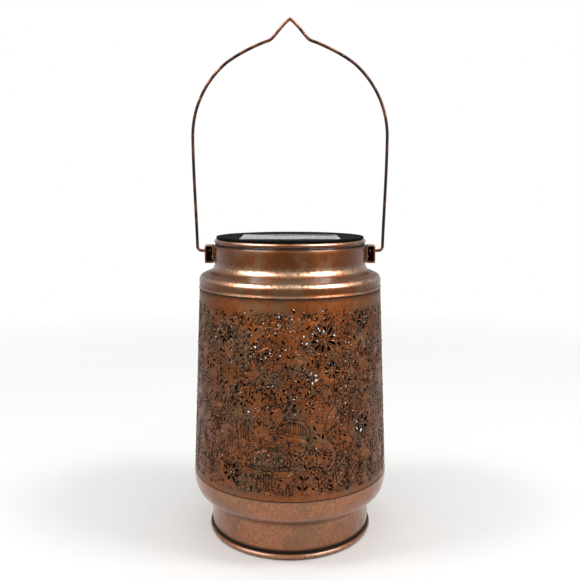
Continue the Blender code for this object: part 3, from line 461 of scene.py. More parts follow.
@dataclass(frozen=True)
class LampEpoxy:
    """Clear lamp body with a yellow phosphor glow towards its base."""

    base: float
    tip: float
    name: str = "lamp_epoxy"

    def material(self) -> bpy.types.Material:
        """Mix the finish."""
        recipe = Recipe(self.name)
        _, _, height = recipe.axes()
        share = ((height - self.tip) / (self.base - self.tip)).clamped()
        bubbles = recipe.noise(0.0008, 3, 0.6)
        return recipe.finish(
            Base_Color=recipe.blend(share.step(0.35, 0.8), (0.93, 0.94, 0.92), (0.88, 0.72, 0.26)),
            Roughness=(0.08 + bubbles * 0.1).clamped(),
            Transmission_Weight=0.35,
            Normal=recipe.relief(bubbles, 0.00003, 0.5),
        )


@dataclass(frozen=True)
class BoardMask:
    """Solder mask over glass cloth, with tinned tracks on a square grid."""

    name: str
    mask: Colour
    track: Colour
    grid: float = 0.0032

    def material(self) -> bpy.types.Material:
        """Mix the finish."""
        recipe = Recipe(self.name)
        across, along, _ = recipe.axes()
        lane_x = recipe.math("PINGPONG", across + 1.0, self.grid / 2)
        lane_y = recipe.math("PINGPONG", along + 1.0, self.grid / 2)
        chosen = recipe.noise(self.grid * 1.6, 1, 0.4)
        tracks = (lane_x.step(0.0004, 0.0003) * chosen.step(0.5, 0.52)).most(
            lane_y.step(0.0004, 0.0003) * chosen.step(0.5, 0.48)
        )
        cloth = recipe.cells(0.0006, "F1", (1, 0.5, 1))
        ground = recipe.blend(cloth * 0.3, self.mask, self.track)
        return recipe.finish(
            Base_Color=recipe.blend(tracks * 0.8, ground, self.track),
            Roughness=(0.38 + cloth * 0.12).clamped(),
            Normal=recipe.relief(tracks + cloth * 0.3, 0.00004),
        )


@dataclass(frozen=True)
class BrightSteel:
    """Plated steel with turning marks and slight tarnish."""

    name: str = "bright_steel"
    plate: Colour = (0.66, 0.65, 0.62)

    def material(self) -> bpy.types.Material:
        """Mix the finish."""
        recipe = Recipe(self.name)
        marks = recipe.noise(0.0003, 3, 0.6, (1, 1, 0.2))
        bloom = recipe.noise(0.003, 4, 0.6).step(0.5, 0.75)
        return recipe.finish(
            Base_Color=recipe.blend(bloom * 0.5, self.plate, (0.40, 0.37, 0.32)),
            Metallic=1.0,
            Roughness=(0.24 + bloom * 0.2 + (marks - 0.5) * 0.12).clamped(),
            Normal=recipe.relief(marks, 0.00003, 0.7),
        )


@dataclass(frozen=True)
class WrappedCell:
    """Heat-shrunk sleeve of a small cell: one colour, a paler band and fine wrinkles."""

    name: str
    wrap: Colour
    band: Colour
    band_start: float
    band_end: float

    def material(self) -> bpy.types.Material:
        """Mix the finish."""
        recipe = Recipe(self.name)
        along, _, _ = recipe.axes()
        band = along.step(self.band_start - MM / 4, self.band_start)
        band = band * along.step(self.band_end + MM / 4, self.band_end)
        wrinkle = recipe.noise(0.0018, 4, 0.6, (0.4, 1, 1))
        return recipe.finish(
            Base_Color=recipe.blend(band, recipe.blend(wrinkle * 0.4, self.wrap, self.band), self.band),
            Roughness=(0.28 + wrinkle * 0.14).clamped(),
            Normal=recipe.relief(wrinkle, 0.00006, 0.6),
        )


@dataclass(frozen=True)
class WoundEnamel:
    """Enamelled winding on a choke: tight turns across its length."""

    name: str = "wound_enamel"
    enamel: Colour = (0.03, 0.16, 0.06)
    turn: float = 0.00028

    def material(self) -> bpy.types.Material:
        """Mix the finish."""
        recipe = Recipe(self.name)
        along, _, _ = recipe.axes()
        groove = recipe.math("PINGPONG", along + 1.0, self.turn / 2) / (self.turn / 2)
        grime = recipe.noise(0.001, 3, 0.6)
        lit = tuple(channel * 1.8 for channel in self.enamel)
        return recipe.finish(
            Base_Color=recipe.blend(groove * grime, self.enamel, lit),
            Roughness=(0.25 + grime * 0.2).clamped(),
            Normal=recipe.relief(groove, 0.00008),
        )


@dataclass(frozen=True)
class LeadCover:
    """Soft insulation on a thin lead."""

    name: str
    colour: Colour

    def material(self) -> bpy.types.Material:
        """Mix the finish."""
        recipe = Recipe(self.name)
        bloom = recipe.noise(0.002, 4, 0.6)
        skin = recipe.noise(0.0003, 2, 0.5)
        dull = tuple(channel * 0.6 + 0.03 for channel in self.colour)
        return recipe.finish(
            Base_Color=recipe.blend(bloom.step(0.35, 0.8) * 0.6, self.colour, dull),
            Roughness=(0.42 + bloom * 0.2).clamped(),
            Normal=recipe.relief(skin, 0.00002, 0.6),
        )


# ----------------------------------------------------------------- mesh tools


def closed_mesh(bm: bmesh.types.BMesh, name: str) -> bpy.types.Object:
    """Weld a bmesh, turn it outwards and make it an object.

    Args:
        bm: The bmesh, which is freed.
        name: The piece's name.

    Returns:
        The piece, smooth with sharp edges kept.
    """
    bmesh.ops.remove_doubles(bm, verts=bm.verts, dist=WELD)
    bmesh.ops.recalc_face_normals(bm, faces=bm.faces)
    mesh = bpy.data.meshes.new(name)
    bm.to_mesh(mesh)
    bm.free()
    mesh.shade_smooth()
    mesh.set_sharp_from_angle(angle=SHARP_ANGLE)
    piece = bpy.data.objects.new(name, mesh)
    bpy.context.scene.collection.objects.link(piece)
    return piece


def arc(centre: Point, radius: float, start: float, end: float, count: int) -> list[Point]:
    """Points along an arc.

    Args:
        centre: Its centre (radius from the axis, height).
        radius: Its own radius.
        start: First angle in degrees.
        end: Last angle in degrees.
        count: Number of steps.

    Returns:
        The points, both ends included.
    """
    angles = [math.radians(start + (end - start) * index / count) for index in range(count + 1)]
    return [(centre[0] + radius * math.cos(a), centre[1] + radius * math.sin(a)) for a in angles]


def spun(profile: list[Point], steps: int = 192, closed: bool = False) -> bmesh.types.BMesh:
    """Spin a profile about Z.

    Args:
        profile: (radius, height) points.
        steps: Steps of the full turn.
        closed: Whether the last point joins the first.

    Returns:
        The turned surface.
    """
    bm = bmesh.new()
    verts = [bm.verts.new((radius, 0, height)) for radius, height in profile]
    pairs = list(zip(verts, verts[1:]))
    if closed:
        pairs.append((verts[-1], verts[0]))
    edges = [bm.edges.new(pair) for pair in pairs]
    geom = verts + edges
    bmesh.ops.spin(bm, geom=geom, cent=(0, 0, 0), axis=UPRIGHT, angle=math.tau, steps=steps, use_merge=True)
    bmesh.ops.remove_doubles(bm, verts=bm.verts, dist=WELD)
    return bm


def add_sheet(
    piece: bpy.types.Object, thickness: float, inside: int = 0, edge: int = 0, crease: float = SHARP_ANGLE
) -> None:
    """Give a surface its sheet thickness on the inner side.

    Args:
        piece: The surface.
        thickness: Sheet thickness.
        inside: Material slot of the inner faces.
        edge: Material slot of the cut edges.
        crease: Angle from which an edge of the sheet is sharp.
    """
    shell = piece.modifiers.new("sheet", "SOLIDIFY")
    shell.thickness = thickness
    shell.offset = -1
    shell.use_even_offset = False
    shell.material_offset = inside
    shell.material_offset_rim = edge
    for _ in range(3):
        piece.data.materials.append(None)
    apply_modifiers(piece)
    piece.data.shade_smooth()
    piece.data.set_sharp_from_angle(angle=crease)


def apply_modifiers(piece: bpy.types.Object) -> None:
    """Make a piece's modifiers part of its mesh."""
    graph = bpy.context.evaluated_depsgraph_get()
    finished = bpy.data.meshes.new_from_object(piece.evaluated_get(graph), depsgraph=graph)
    piece.modifiers.clear()
    spare = piece.data
    piece.data = finished
    bpy.data.meshes.remove(spare)


def cut(piece: bpy.types.Object, tools: Iterable[bpy.types.Object]) -> None:
    """Cut closed tool bodies from a piece and discard them.

    Args:
        piece: The piece.
        tools: The bodies to cut away.
    """
    used = list(tools)
    for tool in used:
        modifier = piece.modifiers.new(tool.name, "BOOLEAN")
        modifier.operation = "DIFFERENCE"
        modifier.object = tool
    bpy.context.view_layer.update()
    apply_modifiers(piece)
    for tool in used:
        bpy.data.objects.remove(tool, do_unlink=True)


def ease_edges(piece: bpy.types.Object, width: float, segments: int = 2) -> None:
    """Round a piece's sharp edges with a small bevel.

    Args:
        piece: The piece.
        width: Width of the bevel.
        segments: Its steps.
    """
    bevel = piece.modifiers.new("eased", "BEVEL")
    bevel.width = width
    bevel.segments = segments
    bevel.limit_method = "ANGLE"
    bevel.angle_limit = math.radians(40)
    apply_modifiers(piece)
    piece.data.shade_smooth()
    piece.data.set_sharp_from_angle(angle=math.radians(50))


def rod(name: str, start: Vector, end: Vector, radius: float, sides: int = 32) -> bpy.types.Object:
    """A closed rod between two points.

    Args:
        name: The rod's name.
        start: Middle of one end.
        end: Middle of the other.
        radius: Its radius.
        sides: Its facets.

    Returns:
        The rod.
    """
    bm = bmesh.new()
    run = end - start
    turn = UPRIGHT.rotation_difference(run).to_matrix().to_4x4()
    place = Matrix.Translation((start + end) / 2) @ turn
    bmesh.ops.create_cone(
        bm, cap_ends=True, segments=sides, radius1=radius, radius2=radius, depth=run.length, matrix=place
    )
    return closed_mesh(bm, name)


def set_ring(verts: list[bmesh.types.BMVert], points: Outline) -> None:
    """Move a ring's points to their places."""
    for vert, point in zip(verts, points):
        vert.co = point


def drawn_on(bm: bmesh.types.BMesh, ring: list[bmesh.types.BMVert]) -> list[bmesh.types.BMVert]:
    """Extrude an open ring of edges.

    Args:
        bm: The bmesh.
        ring: The points of the ring, in order.

    Returns:
        The new ring's points in the same order, still on the old places.
    """
    around = set(zip(ring, ring[1:] + ring[:1]))
    edges = [bm.edges.get(pair) for pair in around]
    made = bmesh.ops.extrude_edge_only(bm, edges=edges)["geom"]
    fresh = {item for item in made if isinstance(item, bmesh.types.BMVert)}
    return [next(e.other_vert(v) for e in v.link_edges if e.other_vert(v) in fresh) for v in ring]


def loft(name: str, rings: list[Outline]) -> bpy.types.Object:
    """Draw a capped ring through further rings of the same count and cap the last one.

    Args:
        name: The piece's name.
        rings: Rings of points, each a closed loop.

    Returns:
        The piece.
    """
    bm = bmesh.new()
    ring = bmesh.ops.create_circle(bm, cap_ends=True, segments=len(rings[0]), radius=1)["verts"]
    set_ring(ring, rings[0])
    for points in rings[1:]:
        ring = drawn_on(bm, ring)
        set_ring(ring, points)
    bmesh.ops.contextual_create(bm, geom=ring)
    return closed_mesh(bm, name)


def ring_of(radius: float, height: float, count: int) -> Outline:
    """A level circle about the axis."""
    angles = [math.tau * (index + 0.5) / count for index in range(count)]
    return [Vector((radius * math.cos(a), radius * math.sin(a), height)) for a in angles]


def frame_of(size: Point, corner: float, height: float, count: int) -> Outline:
    """A level rectangle with round corners, its points at even angles about the axis.

    Args:
        size: Its width and depth.
        corner: Corner radius.
        height: Its height.
        count: Number of points.

    Returns:
        The points.
    """
    half_x, half_y = size[0] / 2 - corner, size[1] / 2 - corner
    points = []
    for point in ring_of(1, 0, count):
        scale = min(size[0] / 2 / max(abs(point.x), 1e-9), size[1] / 2 / max(abs(point.y), 1e-9))
        edge = Vector((point.x * scale, point.y * scale))
        core = Vector((max(-half_x, min(half_x, edge.x)), max(-half_y, min(half_y, edge.y))))
        reach = edge - core
        if abs(reach.x) > 1e-9 and abs(reach.y) > 1e-9:
            edge = core + reach.normalized() * corner
        points.append(Vector((edge.x, edge.y, height)))
    return points


def paint(piece: bpy.types.Object, name: str, value: Callable[[Vector], float]) -> None:
    """Paint a number on every point of a mesh.

    Args:
        piece: The piece.
        name: The attribute that its finish reads.
        value: Gives the number at a place.
    """
    layer = piece.data.attributes.new(name, "FLOAT", "POINT")
    for vert in piece.data.vertices:
        layer.data[vert.index].value = value(vert.co)


def bands(levels: list[tuple[float, float, float]]) -> Callable[[Vector], float]:
    """A painter of level bands round the axis.

    Args:
        levels: (height, spread, strength) of each band.

    Returns:
        The painter.
    """

    def value(place: Vector) -> float:
        """The strongest band at a place."""
        return max(
            strong * math.exp(-(((place.z - level) / spread) ** 2)) for level, spread, strong in levels
        )

    return value


def dress(
    piece: bpy.types.Object, finishes: Iterable[bpy.types.Material], body: Body, slot: str, *nodes: str
) -> None:
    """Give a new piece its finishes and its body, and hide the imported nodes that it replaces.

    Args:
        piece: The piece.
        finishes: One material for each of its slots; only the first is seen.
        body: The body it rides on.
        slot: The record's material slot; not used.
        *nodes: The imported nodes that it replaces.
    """
    # Known fault: clearing the slots moves every face to the first one, so of several finishes only the
    # first shows, and the inner walls and cut edges look like the outside.
    piece.data.materials.clear()
    for finish in finishes:
        piece.data.materials.append(finish)
    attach(piece, body.value)
    if nodes:
        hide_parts(*nodes)
    LOG.info("%s rides on %s, %d faces", piece.name, body.value, len(piece.data.polygons))


def coat_node(node: str, finish: bpy.types.Material) -> None:
    """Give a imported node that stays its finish.

    Args:
        node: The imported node.
        finish: Its material.
    """
    piece = frame["nodes"][node]
    if not piece.material_slots:
        piece.data.materials.append(finish)
    for place in piece.material_slots:
        place.material = finish
    LOG.info("%s keeps its shape, finish %s", node, finish.name)


# ------------------------------------------------------------------ the pattern


@dataclass
class PatternField:
    """One third of the sleeve's pattern laid flat: x round the lantern, y up from the blank's lower edge.

    Places are given as (degrees round from the field's middle, height in millimetres above the ground).
    """

    radius: float
    floor: float
    width: float
    height: float
    openings: list[Outline] = field(default_factory=list)
    grooves: list[tuple[Outline, float]] = field(default_factory=list)
    beads: list[tuple[Vector, float]] = field(default_factory=list)

    def at(self, degrees: float, level: float) -> Vector:
        """The flat point of a place."""
        return Vector((math.radians(degrees) * self.radius, level * MM - self.floor))

    def hole(self, centre: Vector, radius: float, sides: int = 7) -> None:
        """Pierce a round hole.

        Args:
            centre: Its flat point.
            radius: Its radius.
            sides: Points of its outline.
        """
        turn = centre.x * 900
        self.openings.append(
            [centre + radius * heading(turn + 360 * index / sides) for index in range(sides)]
        )

    def petal(self, root: Vector, angle: float, length: float, width: float, blunt: float = 0.6) -> None:
        """Pierce a petal or leaf.

        Args:
            root: Its pointed inner end.
            angle: The way it points, in degrees.
            length: Its length.
            width: Its greatest width.
            blunt: Where along it the greatest width lies.
        """
        along, across = heading(angle), heading(angle + 90)
        stations = ((0.0, 0.0), (blunt * 0.5, 0.38), (blunt, 0.5), ((1 + blunt) / 2, 0.40), (1.0, 0.0))
        if length < 4.5 * MM:
            stations = ((0.0, 0.0), (blunt * 0.6, 0.46), ((1 + blunt) / 2, 0.44), (1.0, 0.0))
        right = [root + along * length * s - across * width * w for s, w in stations]
        left = [root + along * length * s + across * width * w for s, w in stations[-2:0:-1]]
        self.openings.append(right + left)

    def line(self, points: Outline, width: float) -> None:
        """Engrave a groove along points."""
        self.grooves.append((spaced(points, 2.6 * MM), width * 1.3))

    def curve(self, knots: list[Point], width: float) -> None:
        """Engrave a smooth groove through places."""
        self.line(smooth([self.at(*knot) for knot in knots]), width)

    def ring(self, centre: Vector, radius: float, width: float, start: float = 0, sweep: float = 360) -> None:
        """Engrave a circle or an arc of it."""
        count = max(6, int(abs(sweep) / 360 * math.tau * radius / (0.8 * MM)))
        self.line([centre + radius * heading(start + sweep * i / count) for i in range(count + 1)], width)

    def daisy(self, place: Point, reach: float, petals: int, turn: float = 0) -> None:
        """Pierced petals round a beaded eye.

        Args:
            place: Its centre.
            reach: Radius of the petal tips.
            petals: Number of petals.
            turn: Angle of the first petal in degrees.
        """
        centre = self.at(*place)
        width = 1.25 * reach / petals * 1.9
        for index in range(petals):
            angle = turn + 360 * index / petals
            stretch = 1 + 0.10 * math.sin(index * 2.4)
            self.petal(centre + heading(angle) * reach * 0.34, angle, reach * 0.66 * stretch, width)
            tip = centre + heading(angle + 180 / petals) * reach * 0.98
            self.line([centre + heading(angle + 180 / petals) * reach * 0.50, tip], HAIRLINE)
        for index in range(5):
            self.hole(centre + heading(turn + 72 * index) * reach * 0.19, reach * 0.065, 5)
        self.beads.append((centre, reach * 0.09))

    def floret(self, place: Point, reach: float, petals: int = 6) -> None:
        """Small flower: round petals of beads between pierced seeds.

        Args:
            place: Its centre.
            reach: Radius of the petal tips.
            petals: Number of petals.
        """
        centre = self.at(*place)
        for index in range(petals):
            angle = 360 * index / petals + place[0] * 3
            self.petal(centre + heading(angle) * reach * 0.42, angle, reach * 0.60, reach * 0.34)
            self.beads.append((centre + heading(angle + 180 / petals) * reach * 0.78, reach * 0.17))
        self.ring(centre, reach * 0.28, 0.4 * MM)

    def butterfly(self, place: Point, span: float, turn: float) -> None:
        """Four pierced wings with veined edges, a slotted body and feelers.

        Args:
            place: Its centre.
            span: Half of its width over the wings.
            turn: The way its head points, in degrees.
        """
        centre = self.at(*place)
        self.petal(centre - heading(turn) * span * 0.36, turn, span * 0.72, span * 0.13)
        wings = ((52, 0.98, 0.34), (80, 0.74, 0.26), (118, 0.74, 0.34), (146, 0.58, 0.24))
        for side in (-1, 1):
            for lean, length, broad in wings:
                angle = turn + side * lean
                root = centre + heading(angle) * span * 0.20
                self.petal(root, angle, span * (length - 0.2), span * broad * 0.62)
            for lean in (38, 66, 98, 132, 160):
                angle = turn + side * lean
                vein = [centre + heading(angle) * span * 0.3, centre + heading(angle) * span * 0.86]
                self.line(vein, 0.4 * MM)
                self.beads.append((centre + heading(angle) * span * 0.98, span * 0.075))
            bends = ((14, 0.7), (24, 0.95), (34, 1.0))
            feeler = [centre + heading(turn) * span * 0.4]
            feeler += [centre + heading(turn + side * a) * span * r for a, r in bends]
            self.line(smooth(feeler), 0.36 * MM)

    def sprig(
        self, knots: list[Point], leaves: int, length: float, lean: float = 42, pierced: bool = True
    ) -> None:
        """Engraved stem with leaves in pairs.

        Args:
            knots: Places that the stem passes.
            leaves: Number of pairs.
            length: Leaf length.
            lean: Angle between leaf and stem in degrees.
            pierced: Whether the leaves are openings or engraved.
        """
        stem = smooth([self.at(*knot) for knot in knots])
        self.line(stem, 0.55 * MM)
        for index in range(leaves):
            share = (index + 0.6) / (leaves + 0.2)
            joint = int(share * (len(stem) - 1))
            root, ahead = stem[joint], stem[min(joint + 1, len(stem) - 1)] - stem[max(joint - 1, 0)]
            along = math.degrees(math.atan2(ahead.y, ahead.x))
            size = length * (1 - 0.35 * share)
            for side in (-1, 1):
                angle = along + side * lean
                start = root + heading(angle) * 0.55 * MM
                if pierced:
                    self.petal(start, angle, size, size * 0.40, 0.5)
                    continue
                self.line([start, start + heading(angle - side * 8) * size], 0.62 * MM)

    def toadstool(self, place: Point, half: float, rise: float, foot: float) -> None:
        """Domed cap with spots over a gilled skirt, and a stem that flares to the ground.

        Args:
            place: Middle of the cap's lower edge.
            half: Half of the cap's width.
            rise: Height of the cap.
            foot: Length of the stem.
        """
        centre = self.at(*place)
        dome = [
            centre + Vector((half * math.cos(math.radians(a)), rise * math.sin(math.radians(a)) ** 0.8))
            for a in range(0, 181, 12)
        ]
        self.line(dome, 0.75 * MM)
        inner = [centre + (point - centre) * 0.86 + Vector((0, 0.5 * MM)) for point in dome[1:-1]]
        self.line(inner, HAIRLINE)
        stations = (-1, -0.7, -0.35, 0, 0.35, 0.7, 1)
        sag = [centre + Vector((half * x, -half * 0.10 * (1 - x * x))) for x in stations]
        self.line(smooth(sag), 0.7 * MM)
        for index in range(15):
            x = -0.84 + 0.12 * index
            low = centre + Vector((half * x, -half * 0.09 * (1 - x * x)))
            self.line([low + Vector((0, 0.5 * MM)), low + Vector((-half * x * 0.12, rise * 0.20))], 0.4 * MM)
        for x, y, size in (
            (-0.56, 0.42, 0.12),
            (0.05, 0.66, 0.13),
            (0.58, 0.44, 0.13),
            (-0.20, 0.40, 0.08),
            (0.30, 0.34, 0.08),
        ):
            spot = centre + Vector((half * x, rise * y))
            self.ring(spot, half * size, 0.5 * MM)
            self.beads.append((spot, half * size * 0.45))
        for side in (-1, 1):
            stem = [(0.20, -0.10), (0.17, -0.45), (0.19, -0.75), (0.34, -1.0)]
            self.line(smooth([centre + Vector((side * half * x, foot * y)) for x, y in stem]), 0.65 * MM)
        for x in (-0.08, 0.05):
            high, low = Vector((half * x, -foot * 0.2)), Vector((half * x, -foot * 0.9))
            self.line([centre + high, centre + low], HAIRLINE)

    def hatched_cap(self, place: Point, half: float, rise: float, turn: float) -> None:
        """Cap drawn with slanting hatching inside its outline.

        Args:
            place: Middle of its lower edge.
            half: Half of its width.
            rise: Its height.
            turn: Tilt in degrees.
        """
        centre = self.at(*place)
        tilt = Matrix.Rotation(math.radians(turn), 2)
        dome = [
            Vector((half * math.cos(math.radians(a)), rise * math.sin(math.radians(a)) ** 0.7))
            for a in range(0, 181, 15)
        ]
        self.line([centre + tilt @ point for point in dome], 0.7 * MM)
        self.line([centre + tilt @ Vector((half * x, -rise * 0.08)) for x in (1, 0, -1)], 0.6 * MM)
        for index in range(11):
            x = -0.85 + 0.155 * index
            roof = rise * max(0.0, 1 - (x - 0.1) ** 2) ** 0.5 * 0.82
            start, end = Vector((half * (x + 0.10), rise * 0.08)), Vector((half * (x - 0.12), roof))
            if roof > rise * 0.2:
                self.line([centre + tilt @ start, centre + tilt @ end], HAIRLINE)

    def grass(self, place: Point, heights: Iterable[float], pitch: float) -> None:
        """Upright blades of grass, side by side.

        Args:
            place: Foot of the first blade.
            heights: Height of each blade.
            pitch: Distance between blades.
        """
        root = self.at(*place)
        for index, height in enumerate(heights):
            start = root + Vector((pitch * index, (index % 2) * 0.8 * MM))
            bend = Vector((height * 0.06 * math.sin(index * 1.7), height))
            self.line(smooth([start, start + bend * 0.5 + Vector((0.2 * MM, 0)), start + bend]), 0.55 * MM)

    def scroll(self, place: Point, radius: float, turn: float, hand: int = 1) -> None:
        """Engraved curl that tightens into a pierced seed.

        Args:
            place: Its centre.
            radius: Its outer radius.
            turn: Where the curl starts, in degrees.
            hand: 1 for anticlockwise, -1 for clockwise.
        """
        centre = self.at(*place)
        count = 14
        points = [
            centre + heading(turn + hand * 450 * i / count) * radius * (1 - 0.74 * i / count)
            for i in range(count + 1)
        ]
        self.line(points, 0.5 * MM)
        self.hole(centre, radius * 0.16, 6)

    def meadow(self, low: Point, high: Point, count: int, rng: random.Random) -> None:
        """Strew short strokes, beads and seeds over a patch.

        Args:
            low: Its lower left place.
            high: Its upper right place.
            count: Number of marks.
            rng: Source of the scatter.
        """
        for _ in range(count):
            spot = self.at(rng.uniform(low[0], high[0]), rng.uniform(low[1], high[1]))
            angle = rng.choice((35, 60, 90, 120, 145)) + rng.uniform(-10, 10)
            kind = rng.random()
            if kind < 0.16:
                self.line([spot, spot + heading(angle) * rng.uniform(1.6, 3.0) * MM], 0.6 * MM)
            elif kind < 0.24:
                self.beads.append((spot, rng.uniform(0.5, 0.75) * MM))
            elif kind < 0.38 and self.clear(spot, 1.3 * MM):
                self.hole(spot, rng.uniform(0.5, 0.75) * MM, 5)
            else:
                length, width = rng.uniform(2.3, 4.0) * MM, rng.uniform(1.0, 1.5) * MM
                shares = (0, 0.33, 0.67, 1)
                if all(self.clear(spot + heading(angle) * length * s, 1.2 * MM) for s in shares):
                    self.petal(spot, angle, length, width)

    def fern(self, place: Point, count: int, turn: float, length: float) -> None:
        """Row of slanting slots side by side, like the leaflets of a fern.

        Args:
            place: Where the row starts.
            count: Number of slots.
            turn: The way the row runs, in degrees.
            length: Length of the longest slot.
        """
        start = self.at(*place)
        for index in range(count):
            share = (index + 0.5) / count
            root = start + heading(turn) * index * 1.75 * MM
            size = length * (0.62 + 0.38 * math.sin(math.pi * share))
            for side in (-1, 1):
                foot = root + heading(turn + side * 90) * 0.5 * MM
                reach = heading(turn + side * 55) * size
                if self.clear(foot + reach * 0.6, 1.1 * MM) and self.clear(foot + reach, 0.8 * MM):
                    self.petal(foot, turn + side * 55, size, 1.15 * MM, 0.5)

    def seeds(self, count: int, rng: random.Random) -> None:
        """Strew small round holes and beads wherever there is room.

        Args:
            count: Number of tries.
            rng: Source of the scatter.
        """
        margin = 2.2 * MM
        for _ in range(count):
            x = rng.uniform(-self.width / 2 + margin, self.width / 2 - margin)
            spot = Vector((x, rng.uniform(3.5 * MM, self.height - 8.5 * MM)))
            if not self.clear(spot, 1.6 * MM):
                continue
            if rng.random() < 0.72:
                self.hole(spot, rng.uniform(0.5, 0.8) * MM, 5)
            else:
                self.beads.append((spot, rng.uniform(0.5, 0.75) * MM))

    def clear(self, spot: Vector, room: float) -> bool:
        """Whether a spot keeps its distance from every opening, groove and bead.

        Args:
            spot: The flat point.
            room: The distance to keep.

        Returns:
            True when nothing is nearer than that.
        """
        marks = [point for outline in self.openings for point in outline]
        marks += [point for points, _ in self.grooves for point in points]
        marks += [centre for centre, _ in self.beads]
        return all((point - spot).length > room for point in marks)


def heading(degrees: float) -> Vector:
    """A flat unit vector."""
    return Vector((math.cos(math.radians(degrees)), math.sin(math.radians(degrees))))


def smooth(knots: Outline, count: int = 6) -> Outline:
    """A smooth flat curve through knots.

    Args:
        knots: The points that it passes.
        count: Points of each stretch.

    Returns:
        Its points.
    """
    ends = [2 * knots[0] - knots[1], *knots, 2 * knots[-1] - knots[-2]]
    points = [knots[0]]
    for before, start, end, after in zip(ends, ends[1:], ends[2:], ends[3:]):
        leave, arrive = start + (end - before) / 6, end - (after - start) / 6
        knots_3d = [Vector((p.x, p.y, 0)) for p in (start, leave, arrive, end)]
        points += [p.to_2d() for p in interpolate_bezier(*knots_3d, count)][1:]
    return points


def spaced(points: Outline, step: float) -> Outline:
    """Points along a line, no further apart than a step.

    Args:
        points: Corners of the line.
        step: Greatest distance between points.

    Returns:
        The corners and the points between them.
    """
    result = [points[0]]
    for start, end in zip(points, points[1:]):
        count = max(1, math.ceil((end - start).length / step))
        result += [start.lerp(end, index / count) for index in range(1, count + 1)]
    return result


